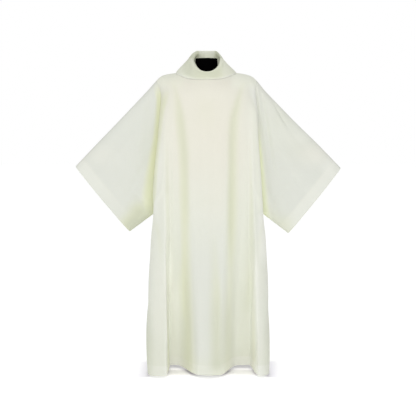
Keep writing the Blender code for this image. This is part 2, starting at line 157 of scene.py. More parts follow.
# Soft folds. Each is a line of points (x, z, half width, height) as seen from the
# front; a height below nought is a trough. sharp is how much narrower the fold is on
# its left side (above 1) or its right side (below 1).
FRONT_FOLDS = [
    # name, sharp, points
    ("left shoulder drag", 1.0, [(-0.163, 1.395, 0.012, 0.0), (-0.147, 1.330, 0.016, -0.0028),
                                 (-0.134, 1.270, 0.020, -0.0056), (-0.127, 1.200, 0.025, -0.0076),
                                 (-0.113, 1.060, 0.026, -0.0070), (-0.107, 0.930, 0.026, -0.0060),
                                 (-0.105, 0.800, 0.026, -0.0040), (-0.103, 0.660, 0.026, 0.0)]),
    ("right shoulder drag", 1.0, [(0.168, 1.392, 0.012, 0.0), (0.150, 1.340, 0.016, -0.0028),
                                  (0.134, 1.280, 0.020, -0.0054), (0.118, 1.205, 0.024, -0.0074),
                                  (0.112, 1.050, 0.022, -0.0076), (0.110, 0.900, 0.022, -0.0086),
                                  (0.110, 0.750, 0.022, -0.0076), (0.108, 0.620, 0.022, -0.0036),
                                  (0.106, 0.500, 0.022, 0.0)]),
    ("left ridge", 1.0, [(-0.162, 1.230, 0.016, 0.0), (-0.164, 1.110, 0.018, 0.0020),
                         (-0.161, 0.950, 0.020, 0.0034), (-0.166, 0.800, 0.020, 0.0026),
                         (-0.168, 0.620, 0.018, 0.0)]),
    ("left outer trough", 1.0, [(-0.183, 1.160, 0.012, 0.0), (-0.184, 1.000, 0.013, -0.0016),
                                (-0.184, 0.830, 0.014, -0.0022), (-0.184, 0.680, 0.014, 0.0)]),
    ("right ridge", 1.0, [(0.170, 1.180, 0.015, 0.0), (0.174, 1.030, 0.018, 0.0026),
                          (0.175, 0.860, 0.020, 0.0034), (0.170, 0.660, 0.020, 0.0016),
                          (0.165, 0.520, 0.018, 0.0)]),
    ("right outer trough", 1.0, [(0.190, 1.120, 0.009, 0.0), (0.196, 0.980, 0.010, -0.0018),
                                 (0.200, 0.780, 0.012, -0.0028), (0.198, 0.600, 0.012, -0.0010),
                                 (0.196, 0.480, 0.012, 0.0)]),
    ("middle left ridge", 1.0, [(-0.062, 0.900, 0.026, 0.0), (-0.056, 0.640, 0.030, 0.0026),
                                (-0.050, 0.400, 0.032, 0.0036), (-0.044, 0.180, 0.034, 0.0020),
                                (-0.042, 0.030, 0.036, 0.0)]),
    ("middle groove", 0.8, [(0.028, 0.700, 0.018, 0.0), (0.034, 0.560, 0.022, -0.0026),
                            (0.042, 0.380, 0.028, -0.0070), (0.046, 0.190, 0.030, -0.0084),
                            (0.048, 0.060, 0.030, -0.0064), (0.048, 0.010, 0.030, -0.0050)]),
    ("waist left", 1.0, [(-0.070, 1.060, 0.030, 0.0), (-0.066, 0.900, 0.034, 0.0018),
                         (-0.062, 0.760, 0.030, 0.0)]),
    ("waist right", 1.0, [(0.060, 1.120, 0.028, 0.0), (0.058, 0.960, 0.034, 0.0020),
                          (0.054, 0.780, 0.030, 0.0)]),
    ("chest dip", 1.0, [(-0.010, 1.330, 0.040, 0.0), (-0.006, 1.250, 0.060, -0.0012),
                        (0.000, 1.120, 0.050, 0.0)]),
    ("left underarm one", 1.4, [(-0.252, 0.820, 0.008, 0.0), (-0.228, 0.860, 0.011, 0.0026),
                                (-0.206, 0.925, 0.014, 0.0016), (-0.192, 1.000, 0.016, 0.0)]),
    ("right underarm one", 0.7, [(0.256, 0.812, 0.008, 0.0), (0.234, 0.850, 0.011, 0.0024),
                                 (0.214, 0.910, 0.014, 0.0014), (0.202, 0.980, 0.016, 0.0)]),
    ("left underarm two", 1.2, [(-0.256, 0.748, 0.010, 0.0), (-0.236, 0.700, 0.012, -0.0020),
                                (-0.222, 0.600, 0.014, -0.0012), (-0.216, 0.500, 0.016, 0.0)]),
    ("right underarm two", 0.8, [(0.262, 0.740, 0.010, 0.0), (0.246, 0.680, 0.012, -0.0018),
                                 (0.236, 0.580, 0.014, -0.0010), (0.232, 0.480, 0.016, 0.0)]),
]
# Streaks of painted shade in the front's folds, written the same way, with a share of painted shade
FRONT_SHADE_STREAKS = [
    ("left", 1.0, [(-0.112, 0.700, 0.016, 0.0), (-0.118, 0.560, 0.018, 0.16), (-0.122, 0.440, 0.020, 0.30),
                   (-0.119, 0.330, 0.018, 0.22), (-0.114, 0.240, 0.016, 0.0)]),
    ("right", 1.0, [(0.192, 0.560, 0.012, 0.0), (0.196, 0.430, 0.014, 0.16), (0.190, 0.340, 0.014, 0.10),
                    (0.188, 0.260, 0.012, 0.0)]),
]
BACK_FOLDS = [
    ("left shoulder drag", 1.0, [(-0.150, 1.400, 0.012, 0.0), (-0.140, 1.330, 0.016, -0.0028),
                                 (-0.126, 1.230, 0.018, -0.0030), (-0.112, 1.080, 0.022, -0.0016),
                                 (-0.105, 0.900, 0.024, 0.0)]),
    ("right shoulder drag", 1.0, [(0.158, 1.398, 0.012, 0.0), (0.150, 1.320, 0.015, -0.0026),
                                  (0.138, 1.240, 0.018, -0.0032), (0.124, 1.100, 0.022, -0.0018),
                                  (0.116, 0.940, 0.024, 0.0)]),
    ("left ridge", 1.0, [(-0.160, 1.260, 0.016, 0.0), (-0.158, 1.080, 0.020, 0.0030),
                         (-0.156, 0.900, 0.022, 0.0034), (-0.160, 0.720, 0.022, 0.0)]),
    ("right ridge", 1.0, [(0.170, 1.220, 0.016, 0.0), (0.168, 1.060, 0.020, 0.0028),
                          (0.165, 0.880, 0.022, 0.0036), (0.168, 0.690, 0.022, 0.0)]),
    ("spine trough", 1.0, [(0.004, 1.290, 0.030, 0.0), (0.000, 1.120, 0.036, -0.0022),
                           (-0.004, 0.920, 0.034, -0.0030), (-0.006, 0.740, 0.030, -0.0010),
                           (-0.006, 0.600, 0.028, 0.0)]),
    ("blade left", 1.0, [(-0.066, 1.340, 0.030, 0.0), (-0.064, 1.220, 0.036, 0.0022),
                         (-0.060, 1.060, 0.034, 0.0016), (-0.062, 0.900, 0.030, 0.0)]),
    ("blade right", 1.0, [(0.072, 1.340, 0.030, 0.0), (0.070, 1.200, 0.036, 0.0024),
                          (0.066, 1.040, 0.034, 0.0014), (0.066, 0.880, 0.030, 0.0)]),
    ("left underarm one", 1.4, [(-0.250, 0.830, 0.008, 0.0), (-0.224, 0.880, 0.012, 0.0030),
                                (-0.200, 0.960, 0.015, 0.0018), (-0.186, 1.040, 0.016, 0.0)]),
    ("right underarm one", 0.7, [(0.254, 0.824, 0.008, 0.0), (0.230, 0.870, 0.012, 0.0028),
                                 (0.208, 0.940, 0.015, 0.0016), (0.196, 1.010, 0.016, 0.0)]),
    ("left underarm two", 1.2, [(-0.254, 0.740, 0.010, 0.0), (-0.234, 0.680, 0.013, -0.0024),
                                (-0.220, 0.560, 0.015, -0.0012), (-0.214, 0.460, 0.016, 0.0)]),
    ("right underarm two", 0.8, [(0.260, 0.735, 0.010, 0.0), (0.242, 0.660, 0.013, -0.0022),
                                 (0.230, 0.560, 0.015, -0.0012), (0.226, 0.450, 0.016, 0.0)]),
]
# The same for the sleeves, for their front and their back faces
SLEEVE_FOLDS = {
    "sleeve_left": {
        "front": [
            ("shoulder ridge", 1.0, [(-0.238, 1.380, 0.007, 0.0), (-0.246, 1.310, 0.009, 0.0026),
                                     (-0.256, 1.200, 0.012, 0.0022), (-0.268, 1.060, 0.016, 0.0)]),
            ("shoulder trough", 1.0, [(-0.262, 1.360, 0.008, 0.0), (-0.276, 1.280, 0.012, -0.0022),
                                      (-0.292, 1.150, 0.018, -0.0020), (-0.306, 0.980, 0.024, 0.0)]),
            ("underarm drag", 1.0, [(-0.280, 0.800, 0.010, 0.0), (-0.318, 0.832, 0.018, -0.0036),
                                    (-0.368, 0.880, 0.024, -0.0022), (-0.425, 0.950, 0.028, 0.0)]),
            ("elbow ridge", 1.0, [(-0.300, 0.900, 0.020, 0.0), (-0.350, 0.970, 0.028, 0.0024),
                                  (-0.410, 1.040, 0.030, 0.0012), (-0.460, 1.090, 0.030, 0.0)]),
            ("cuff dip", 1.0, [(-0.400, 0.760, 0.018, 0.0), (-0.450, 0.820, 0.026, -0.0022),
                               (-0.500, 0.900, 0.028, -0.0016), (-0.540, 0.960, 0.026, 0.0)]),
        ],
        "back": [
            ("shoulder trough", 1.0, [(-0.255, 1.360, 0.008, 0.0), (-0.272, 1.260, 0.013, -0.0030),
                                      (-0.290, 1.120, 0.020, -0.0024), (-0.308, 0.960, 0.024, 0.0)]),
            ("underarm drag", 1.0, [(-0.284, 0.806, 0.010, 0.0), (-0.330, 0.850, 0.020, -0.0034),
                                    (-0.385, 0.910, 0.026, -0.0018), (-0.440, 0.970, 0.028, 0.0)]),
            ("middle ridge", 1.0, [(-0.330, 1.040, 0.024, 0.0), (-0.390, 1.040, 0.030, 0.0026),
                                   (-0.460, 1.000, 0.030, 0.0014), (-0.520, 0.960, 0.028, 0.0)]),
        ],
    },
    "sleeve_right": {
        "front": [
            ("shoulder ridge", 1.0, [(0.227, 1.385, 0.006, 0.0), (0.238, 1.310, 0.008, 0.0030),
                                     (0.256, 1.200, 0.010, 0.0036), (0.276, 1.070, 0.014, 0.0026),
                                     (0.296, 0.940, 0.018, 0.0)]),
            ("shoulder trough", 0.55, [(0.238, 1.388, 0.006, 0.0), (0.254, 1.320, 0.009, -0.0036),
                                       (0.274, 1.208, 0.012, -0.0046), (0.301, 1.030, 0.015, -0.0040),
                                       (0.317, 0.930, 0.018, -0.0014), (0.325, 0.860, 0.020, 0.0)]),
            ("top edge trough", 1.6, [(0.300, 1.312, 0.005, 0.0), (0.322, 1.270, 0.007, -0.0032),
                                      (0.348, 1.222, 0.008, -0.0036), (0.382, 1.165, 0.009, 0.0)]),
            ("top edge ridge", 1.0, [(0.318, 1.255, 0.010, 0.0), (0.350, 1.190, 0.014, 0.0024),
                                     (0.400, 1.110, 0.018, 0.0016), (0.470, 1.040, 0.020, 0.0)]),
            ("underarm drag", 1.0, [(0.285, 0.800, 0.010, 0.0), (0.322, 0.836, 0.016, -0.0026),
                                    (0.370, 0.890, 0.022, -0.0016), (0.420, 0.950, 0.026, 0.0)]),
            ("elbow ridge", 1.0, [(0.320, 0.960, 0.020, 0.0), (0.370, 0.980, 0.028, 0.0022),
                                  (0.440, 0.960, 0.030, 0.0012), (0.500, 0.930, 0.028, 0.0)]),
            ("cuff dip", 1.0, [(0.404, 0.740, 0.018, 0.0), (0.452, 0.800, 0.024, -0.0020),
                               (0.500, 0.870, 0.026, -0.0016), (0.550, 0.930, 0.024, 0.0)]),
        ],
        "back": [
            ("shoulder trough", 1.0, [(0.246, 1.365, 0.008, 0.0), (0.264, 1.250, 0.013, -0.0032),
                                      (0.286, 1.100, 0.020, -0.0022), (0.304, 0.950, 0.024, 0.0)]),
            ("underarm drag", 1.0, [(0.290, 0.800, 0.010, 0.0), (0.336, 0.846, 0.020, -0.0032),
                                    (0.392, 0.900, 0.026, -0.0016), (0.450, 0.955, 0.028, 0.0)]),
            ("middle ridge", 1.0, [(0.335, 1.080, 0.024, 0.0), (0.392, 1.070, 0.030, 0.0024),
                                   (0.462, 1.030, 0.030, 0.0016), (0.530, 0.975, 0.028, 0.0)]),
        ],
    },
}
COLLAR_FOLDS = {
    "front": [
        ("left dent", 1.0, [(-0.083, 1.488, 0.006, 0.0), (-0.087, 1.465, 0.009, -0.0030),
                            (-0.090, 1.440, 0.011, -0.0034), (-0.094, 1.415, 0.012, 0.0)]),
        ("left ridge", 1.0, [(-0.066, 1.478, 0.006, 0.0), (-0.068, 1.450, 0.010, 0.0020),
                             (-0.070, 1.420, 0.012, 0.0)]),
        ("right dent", 1.0, [(0.068, 1.480, 0.006, 0.0), (0.074, 1.458, 0.008, -0.0020),
                             (0.082, 1.436, 0.010, 0.0)]),
        ("front sag", 1.0, [(-0.050, 1.420, 0.008, 0.0), (-0.010, 1.414, 0.009, 0.0012),
                            (0.036, 1.421, 0.008, 0.0)]),
    ],
    "back": [
        ("left dent", 1.0, [(-0.052, 1.520, 0.008, 0.0), (-0.060, 1.490, 0.012, -0.0024),
                            (-0.066, 1.450, 0.014, 0.0)]),
        ("right dent", 1.0, [(0.040, 1.518, 0.008, 0.0), (0.050, 1.486, 0.012, -0.0026),
                             (0.058, 1.448, 0.014, 0.0)]),
    ],
}


# ---------------------------------------------------------------- small functions
def smooth(t):
    t = np.clip(t, 0.0, 1.0)
    return t * t * (3.0 - 2.0 * t)


def through(xs, ys, x):
    """A smooth curve through the points (xs, ys) with no overshoot."""
    xs, ys = np.asarray(xs, float), np.asarray(ys, float)
    if xs[0] > xs[-1]:
        xs, ys = xs[::-1], ys[::-1]
    step = np.diff(xs)
    slope = np.diff(ys) / step
    m = np.zeros(len(xs))
    m[0], m[-1] = slope[0], slope[-1]
    for i in range(1, len(xs) - 1):
        if slope[i - 1] * slope[i] > 0:
            a, b = 2 * step[i] + step[i - 1], step[i] + 2 * step[i - 1]
            m[i] = (a + b) / (a / slope[i - 1] + b / slope[i])
    i = np.clip(np.searchsorted(xs, x) - 1, 0, len(step) - 1)
    t = (np.clip(x, xs[0], xs[-1]) - xs[i]) / step[i]
    return (
        ys[i] * (1 + 2 * t) * (1 - t) ** 2
        + m[i] * step[i] * t * (1 - t) ** 2
        + ys[i + 1] * t * t * (3 - 2 * t)
        + m[i + 1] * step[i] * t * t * (t - 1)
    )


def unit(v):
    return v / np.maximum(np.linalg.norm(v, axis=-1, keepdims=True), 1e-12)


def run_along(points):
    """Distance along a line of points, from its first."""
    return np.concatenate(
        [[0.0], np.cumsum(np.linalg.norm(np.diff(points, axis=0), axis=1))]
    )


def normals(P, closed, flip):
    """The outward direction at each point of a grid of rows."""
    down = np.gradient(P, axis=0)
    if closed:
        across = (np.roll(P, -1, axis=1) - np.roll(P, 1, axis=1)) / 2
    else:
        across = np.gradient(P, axis=1)
    n = unit(np.cross(across, down))
    return -n if flip else n


# ---------------------------------------------------------------- the body's form
def section(z):
    rows = np.array(SECTIONS, float)
    return {
        name: float(through(rows[:, 0], rows[:, k], z))
        for k, name in enumerate(SECTION_COLUMNS)
    }


def share_down(z):
    return float(np.clip((VALLEY_TOP_Z - z) / (VALLEY_TOP_Z - HEM_Z), 0.0, 1.0))


def valley_edges(valley, z):
    """Where a fold's two walls begin and end; the walls are softest at the chest."""
    q = smooth(share_down(z))
    a, b, c, d = [valley[1 + 2 * k] * (1 - q) + valley[2 + 2 * k] * q for k in range(4)]
    room = 0.45 * (c - b) * (1.0 - smooth((share_down(z) - 0.30) / 0.45))
    return [a - 0.35 * room, b + room, c - 0.5 * room, d + 0.35 * room]


def valley_depth(valley, x, z):
    a, b, c, d = valley_edges(valley, z)
    q = share_down(z)
    depth = valley[9] * smooth(5 * q) + (valley[10] - valley[9]) * q**VALLEY_GROWTH
    return depth * (smooth((x - a) / (b - a)) - smooth((x - c) / (d - c)))


def level_curve(z, facing, valleys, columns):
    """The points of one panel at height z, from the left seam to the right one."""
    cut = section(z)
    reach = cut["front"] if facing < 0 else cut["back"]
    u = np.linspace(-1.0, 1.0, 3201)
    turn = (1.0 - np.abs(u)) * math.pi / 2
    power = 2.0 / cut["square"]
    wide = np.where(u < 0, cut["left"], cut["right"])
    x = np.sign(u) * wide * np.cos(turn) ** power
    out = np.abs(np.sin(turn)) ** power
    gap = max(cut["gap"], SEAM_GAP)
    lift = gap + (reach - gap) * out
    x = x - np.sign(u) * cut["tuck"] * (1.0 - smooth(out / 0.72))
    depth = sum(valley_depth(v, x, z) for v in valleys)
    lift = lift - depth * smooth(out / 0.5)
    flank = 1.0 - math.asin(0.45 ** (1.0 / power)) * 2 / math.pi
    first, last = int(np.argmin(x)), int(np.argmax(x))
    marks = [-1.0, -flank]
    for v in valleys:
        marks += [
            float(np.interp(e, x[first : last + 1], u[first : last + 1]))
            for e in valley_edges(v, z)
        ]
    marks += [flank, 1.0]
    run = np.concatenate([[0], np.cumsum(np.hypot(np.diff(x), np.diff(lift)))])
    at = []
    for k, count in enumerate(columns):
        ends = np.interp([marks[k], marks[k + 1]], u, run)
        at += list(np.linspace(ends[0], ends[1], count + 1)[:-1])
    at = np.array(at + [run[-1]])
    # even out the spacing a little, so that no column changes width at once
    for _ in range(60):
        at[1:-1] = (at[:-2] + 2 * at[1:-1] + at[2:]) / 4
    return np.stack(
        [np.interp(at, run, x), facing * np.interp(at, run, lift), np.full(len(at), z)],
        axis=1,
    )


def top_edge(x, facing):
    """A point of the shoulder seam or the neckline, and the way the cloth leaves it."""
    seam = SHOULDER_LEFT if x < NECK_X else SHOULDER_RIGHT
    from_neck = (x - NECK_X) / NECK_HALF
    if abs(from_neck) > 1.0 - 1e-9:
        z = float(through([p[0] for p in seam], [p[1] for p in seam], x))
        point = np.array([x, facing * SEAM_GAP, z])
        fall = math.radians(12)
    else:
        neck_y, neck_z = (
            (NECK_FRONT_Y, NECK_FRONT_Z) if facing < 0 else (NECK_BACK_Y, NECK_BACK_Z)
        )
        share = math.sqrt(1.0 - from_neck**2)
        point = np.array(
            [
                x,
                facing * SEAM_GAP + neck_y * share,
                seam[0][1] + (neck_z - seam[0][1]) * share**1.5,
            ]
        )
        fall = math.radians(12 + 30 * share)
    return point, np.array([0.0, facing * math.cos(fall), -math.sin(fall)])


def body_levels():
    armhole = list(np.linspace(YOKE_Z, UNDERARM_Z, ARMHOLE_ROWS + 1))
    skirt = list(np.linspace(UNDERARM_Z, HEM_Z + 0.065, SKIRT_ROWS + 1)[1:])
    return armhole + skirt + [HEM_Z + up for up in HEM_STEPS]


def body_grid(facing, valleys, columns):
    """The plain grid of one body panel, from the shoulder to the hem."""
    below = [level_curve(z, facing, valleys, columns) for z in body_levels()]
    yoke, next_row = below[0], level_curve(YOKE_Z - 0.01, facing, valleys, columns)
    run = run_along(yoke)
    ends = SHOULDER_LEFT[-1][0], SHOULDER_RIGHT[-1][0]
    across = ends[0] + (ends[1] - ends[0]) * run / run[-1]
    above = []
    for k in range(YOKE_ROWS):
        t = k / YOKE_ROWS
        row = []
        for i, x in enumerate(across):
            start, leaves = top_edge(float(x), facing)
            span = np.linalg.norm(yoke[i] - start)
            down = (next_row[i] - yoke[i]) / 0.01
            row.append(
                start * (1 + 2 * t) * (1 - t) ** 2
                + leaves * span * 1.25 * t * (1 - t) ** 2
                + yoke[i] * t * t * (3 - 2 * t)
                + down * span * 1.0 * t * t * (t - 1)
            )
        above.append(np.array(row))
    return np.array(above + below)


# ---------------------------------------------------------------- folds
def fold_line(points, steps=28):
    """A smooth dense line through the points of one fold."""
    points = np.array(points, float)
    t = run_along(points[:, :2])
    at = np.linspace(0, t[-1], steps)
    return np.stack([through(t, points[:, k], at) for k in range(4)], axis=1)


def folds(table, X, Z):
    """How far the folds of a table lift the cloth at the points (X, Z)."""
    lift = np.zeros_like(X)
    for _, sharp, points in table:
        line = fold_line(points)
        best = np.full(X.shape, 1e9)
        found = np.zeros_like(X)
        for (x0, z0, w0, h0), (x1, z1, w1, h1) in zip(line[:-1], line[1:]):
            dx, dz = x1 - x0, z1 - z0
            long2 = dx * dx + dz * dz
            t = np.clip(((X - x0) * dx + (Z - z0) * dz) / long2, 0.0, 1.0)
            ox, oz = X - (x0 + t * dx), Z - (z0 + t * dz)
            far = np.hypot(ox, oz)
            width = w0 + (w1 - w0) * t
            width = width * np.where(ox * dz - oz * dx > 0, 1 / math.sqrt(sharp), math.sqrt(sharp))
            height = (h0 + (h1 - h0) * t) * np.exp(-1.4 * (far / width) ** 2)
            nearer = far < best
            best = np.where(nearer, far, best)
            found = np.where(nearer, height, found)
        lift += found
    return lift


def ripples(s, z, waves):
    """Long uneven waves in the cloth. Each is a size, a width, a lean and a start."""
    total = np.zeros_like(s)
    for size, width, lean, start in waves:
        drift = start + lean * z + 0.9 * np.sin(3.1 * z + 2.3 * start)
        total += size * np.sin(2 * math.pi * s / width + drift)
    return total


FRONT_WAVES = [(0.0010, 0.162, 1.2, 0.4), (0.0007, 0.097, -1.7, 2.1), (0.0004, 0.061, 2.6, 4.0)]
BACK_WAVES = [(0.0012, 0.171, -1.1, 1.3), (0.0008, 0.103, 1.5, 3.4), (0.0005, 0.064, -2.4, 0.6)]
SLEEVE_WAVES = [(0.0011, 0.190, 2.0, 0.9), (0.0007, 0.118, -3.0, 2.7), (0.0004, 0.071, 4.1, 5.0)]


def across_run(P):
    """Distance along each row, in metres."""
    step = np.linalg.norm(np.diff(P, axis=1), axis=2)
    return np.concatenate([np.zeros((len(P), 1)), np.cumsum(step, axis=1)], axis=1)


def down_run(P):
    step = np.linalg.norm(np.diff(P, axis=0), axis=2)
    return np.concatenate([np.zeros((1, P.shape[1])), np.cumsum(step, axis=0)], axis=0)


# ---------------------------------------------------------------- hems and seams
def turned(P, closed, flip, depth, inner_rows=12):
    """The grid with its last edge turned under by depth, as one continuous sheet.
    Returns the grid and how much of a turned hem each row is part of."""
    N = normals(P, closed, flip)
    last = P[-1]
    out = unit(P[-1] - P[-2])
    n = unit(N[-1] - out * np.sum(N[-1] * out, axis=1, keepdims=True))
    middle = last - n * FOLD_R
    turn = []
    for angle in (25, 50, 75, 105, 130, 155):
        a = math.radians(angle)
        turn.append(middle + FOLD_R * (math.cos(a) * n + math.sin(a) * out))
    back = down_run(P[::-1])  # distance from the edge, up each column
    up, upn = P[::-1], N[::-1]
    inside = []
    for d in np.linspace(0.0, depth, inner_rows + 1):
        row = np.zeros_like(last)
        for i in range(P.shape[1]):
            k = min(int(np.searchsorted(back[:, i], d)), len(back) - 1)
            k = max(k, 1)
            t = (d - back[k - 1, i]) / max(back[k, i] - back[k - 1, i], 1e-9)
            t = min(max(t, 0.0), 1.0)
            at = up[k - 1, i] * (1 - t) + up[k, i] * t
            nn = upn[k - 1, i] * (1 - t) + upn[k, i] * t
            row[i] = at - nn / max(np.linalg.norm(nn), 1e-9) * 2 * FOLD_R
        inside.append(row)
    grid = np.concatenate([P, np.array(turn), np.array(inside)], axis=0)
    from_edge = back.mean(axis=1)[::-1]
    band = 1.0 - smooth((from_edge - depth + 0.0015) / 0.003)
    return grid, np.concatenate([band, np.ones(len(turn) + len(inside))])


def panel_allowances(P, facing):
    """Adds the seam allowances, turned to the inside, at both sides and the top."""
    rows = len(P)
    gap = np.abs(P[:, 0, 1])
    level = smooth((P[:, 0, 2] - 1.33) / 0.08)  # nearer the shoulder they point down
    sides = []
    for side, edge in ((-1, 0), (1, -1)):
        open_ = smooth((gap - 0.002) / 0.012)
        way = np.stack(
            [-side * (1.0 - 0.3 * open_) * (1 - 0.45 * level), -facing * 0.75 * open_ * (1 - level), -0.9 * level],
            axis=1,
        )
        way = unit(way)
        cols = [P[:, edge] + way * d for d in (0.0012, 0.0045, ALLOWANCE)]
        sides.append(cols)
    wide = np.concatenate(
        [np.stack(sides[0][::-1], axis=1), P, np.stack(sides[1], axis=1)], axis=1
    )
    top = wide[0]
    tops = [top + np.array([0.0, 0.0, -1.0]) * d for d in (ALLOWANCE, 0.0045, 0.0012)]
    return np.concatenate([np.array(tops), wide], axis=0)


# ---------------------------------------------------------------- meshes
def put(name, mesh, look):
    mesh.materials.append(look)
    mesh.shade_smooth()
    mesh.set_sharp_from_angle(angle=math.radians(55))
    obj = bpy.data.objects.new(name, mesh)
    bpy.context.scene.collection.objects.link(obj)
    return obj


def shell(name, P, look, closed=False, flip=False, band=None, crease=None, glow=None, dim=None, clear=None, cool=None, thick=SHELL):
    """A closed thin shell about the grid P, with the cloth's own coordinates."""
    rows, count = P.shape[:2]
    N = normals(P, closed, flip)
    outer, inner = P + N * thick / 2, P - N * thick / 2
    verts = np.concatenate([outer.reshape(-1, 3), inner.reshape(-1, 3)])
    index = np.arange(rows * count).reshape(rows, count)
    if closed:
        index = np.concatenate([index, index[:, :1]], axis=1)
    a, b = index[:-1, :-1], index[:-1, 1:]
    c, d = index[1:, 1:], index[1:, :-1]
    quads = np.stack([a, d, c, b] if not flip else [a, b, c, d], axis=-1).reshape(-1, 4)
    # cross(across, down) points out of a, b, c, d read as a -> b -> c the other way
    quads = quads[:, ::-1]
    other = quads[:, ::-1] + rows * count
    rims = []
    shift = rows * count

    def rim(line):
        one, two = line[:-1], line[1:]
        rims.append(np.stack([one, two, two + shift, one + shift], axis=-1))

    rim(index[0])
    rim(index[-1][::-1])
    if not closed:
        rim(index[:, 0][::-1])
        rim(index[:, -1])
    faces = np.concatenate([quads, other, *rims])
    mesh = bpy.data.meshes.new(name)
    mesh.vertices.add(len(verts))
    mesh.vertices.foreach_set("co", verts.astype(np.float32).ravel())
    mesh.loops.add(len(faces) * 4)
    mesh.loops.foreach_set("vertex_index", faces.astype(np.int32).ravel())
    mesh.polygons.add(len(faces))
    mesh.polygons.foreach_set("loop_start", np.arange(0, len(faces) * 4, 4, dtype=np.int32))
    mesh.update(calc_edges=True)
    mesh.validate()
    # all faces to the outside
    bm = bmesh.new()
    bm.from_mesh(mesh)
    bmesh.ops.recalc_face_normals(bm, faces=bm.faces)
    if bm.calc_volume(signed=True) < 0:
        bmesh.ops.reverse_faces(bm, faces=bm.faces)
    bm.to_mesh(mesh)
    bm.free()
    s, v = across_run(P), down_run(P)
    s = s - s.mean(axis=1, keepdims=True)
    grain = np.stack([s, v, np.zeros_like(s)], axis=-1).reshape(-1, 3)
    made = mesh.attributes.new("grain", "FLOAT_VECTOR", "POINT")
    made.data.foreach_set("vector", np.concatenate([grain, grain]).astype(np.float32).ravel())
    for label, values in (("band", band), ("crease", crease), ("glow", glow), ("dim", dim), ("clear", clear), ("cool", cool)):
        values = np.zeros((rows, count)) if values is None else np.asarray(values, float)
        if values.ndim == 1:
            values = np.repeat(values[:, None], count, axis=1)
        flat = values.reshape(-1)
        made = mesh.attributes.new(label, "FLOAT", "POINT")
        made.data.foreach_set("value", np.concatenate([flat, flat]).astype(np.float32))
    return put(name, mesh, look)


def stitches(name, line, N, look, closed, pitch=0.0031, length=0.0023, r=0.00024):
    """A row of sewn stitches along a line of points on the cloth's face."""
    if closed:
        line = np.concatenate([line, line[:1]])
        N = np.concatenate([N, N[:1]])
    run = run_along(line)
    total = int(run[-1] / pitch)
    ends = []
    for k in range(total):
        mid = (k + 0.5) * pitch
        ends.append([mid - length / 2, mid - length / 4, mid, mid + length / 4, mid + length / 2])
    ends = np.array(ends)
    at = np.stack([np.interp(ends.ravel(), run, line[:, k]) for k in range(3)], axis=1)
    up = unit(np.stack([np.interp(ends.ravel(), run, N[:, k]) for k in range(3)], axis=1))
    at, up = at.reshape(-1, 5, 3), up.reshape(-1, 5, 3)
    along = unit(at[:, 4] - at[:, 0])[:, None, :]
    side = unit(np.cross(along, up))
    lift = np.array([-0.00025, 0.00008, 0.00018, 0.00008, -0.00025])[None, :, None]
    fat = np.array([0.55, 1.0, 1.0, 1.0, 0.55])[None, :, None] * r
    centre = at + up * lift
    ring = []
    for k in range(6):
        a = math.pi * 2 * k / 6
        ring.append(centre + (side * math.cos(a) + up * math.sin(a)) * fat)
    ring = np.stack(ring, axis=2)  # stitch, station, corner, xyz
    verts = ring.reshape(-1, 3)
    faces = []
    for s in range(total):
        base = s * 30
        for j in range(4):
            for k in range(6):
                m = (k + 1) % 6
                faces.append((base + j * 6 + k, base + j * 6 + m, base + (j + 1) * 6 + m, base + (j + 1) * 6 + k))
        faces.append(tuple(base + k for k in range(5, -1, -1)))
        faces.append(tuple(base + 24 + k for k in range(6)))
    mesh = bpy.data.meshes.new(name)
    mesh.from_pydata(verts.tolist(), [], faces)
    bm = bmesh.new()
    bm.from_mesh(mesh)
    bmesh.ops.recalc_face_normals(bm, faces=bm.faces)
    bm.to_mesh(mesh)
    bm.free()
    return put(name, mesh, look)


# ---------------------------------------------------------------- materials
class Nodes:
    """A short way to write a material's nodes."""

    def __init__(self, name):
        self.made = bpy.data.materials.new(name)
        self.made.use_nodes = True
        self.tree = self.made.node_tree
        self.shader = self.tree.nodes["Principled BSDF"]

    def add(self, kind, **settings):
        node = self.tree.nodes.new(kind)
        for key, value in settings.items():
            setattr(node, key, value)
        return node

    def link(self, one, two):
        self.tree.links.new(one, two)

    def attribute(self, name):
        return self.add("ShaderNodeAttribute", attribute_name=name)

    def scaled(self, vector, scale):
        node = self.add("ShaderNodeVectorMath", operation="MULTIPLY")
        self.link(vector, node.inputs[0])
        node.inputs[1].default_value = scale
        return node.outputs["Vector"]

    def noise(self, vector, scale, detail=2.0, rough=0.5):
        node = self.add("ShaderNodeTexNoise")
        self.link(vector, node.inputs["Vector"])
        node.inputs["Scale"].default_value = scale
        node.inputs["Detail"].default_value = detail
        node.inputs["Roughness"].default_value = rough
        return node.outputs["Fac"]

    def span(self, value, low, high, to_low, to_high):
        node = self.add("ShaderNodeMapRange")
        self.link(value, node.inputs["Value"])
        for key, number in zip(("From Min", "From Max", "To Min", "To Max"), (low, high, to_low, to_high)):
            node.inputs[key].default_value = number
        return node.outputs["Result"]

    def math(self, operation, one, two):
        node = self.add("ShaderNodeMath", operation=operation)
        for k, value in enumerate((one, two)):
            if isinstance(value, (int, float)):
                node.inputs[k].default_value = value
            else:
                self.link(value, node.inputs[k])
        return node.outputs[0]

    def mix(self, share, one, two):
        node = self.add("ShaderNodeMix", data_type="RGBA")
        if isinstance(share, (int, float)):
            node.inputs[0].default_value = share
        else:
            self.link(share, node.inputs[0])
        for socket, value in ((node.inputs[6], one), (node.inputs[7], two)):
            if isinstance(value, tuple):
                socket.default_value = (*value, 1.0)
            else:
                self.link(value, socket)
        return node.outputs[2]

    def bump(self, height, distance, strength, before=None):
        node = self.add("ShaderNodeBump")
        self.link(height, node.inputs["Height"])
        node.inputs["Distance"].default_value = distance
        node.inputs["Strength"].default_value = strength
        if before is not None:
            self.link(before, node.inputs["Normal"])
        return node.outputs["Normal"]

    def set(self, **values):
        for key, value in values.items():
            self.shader.inputs[key.replace("_", " ")].default_value = value


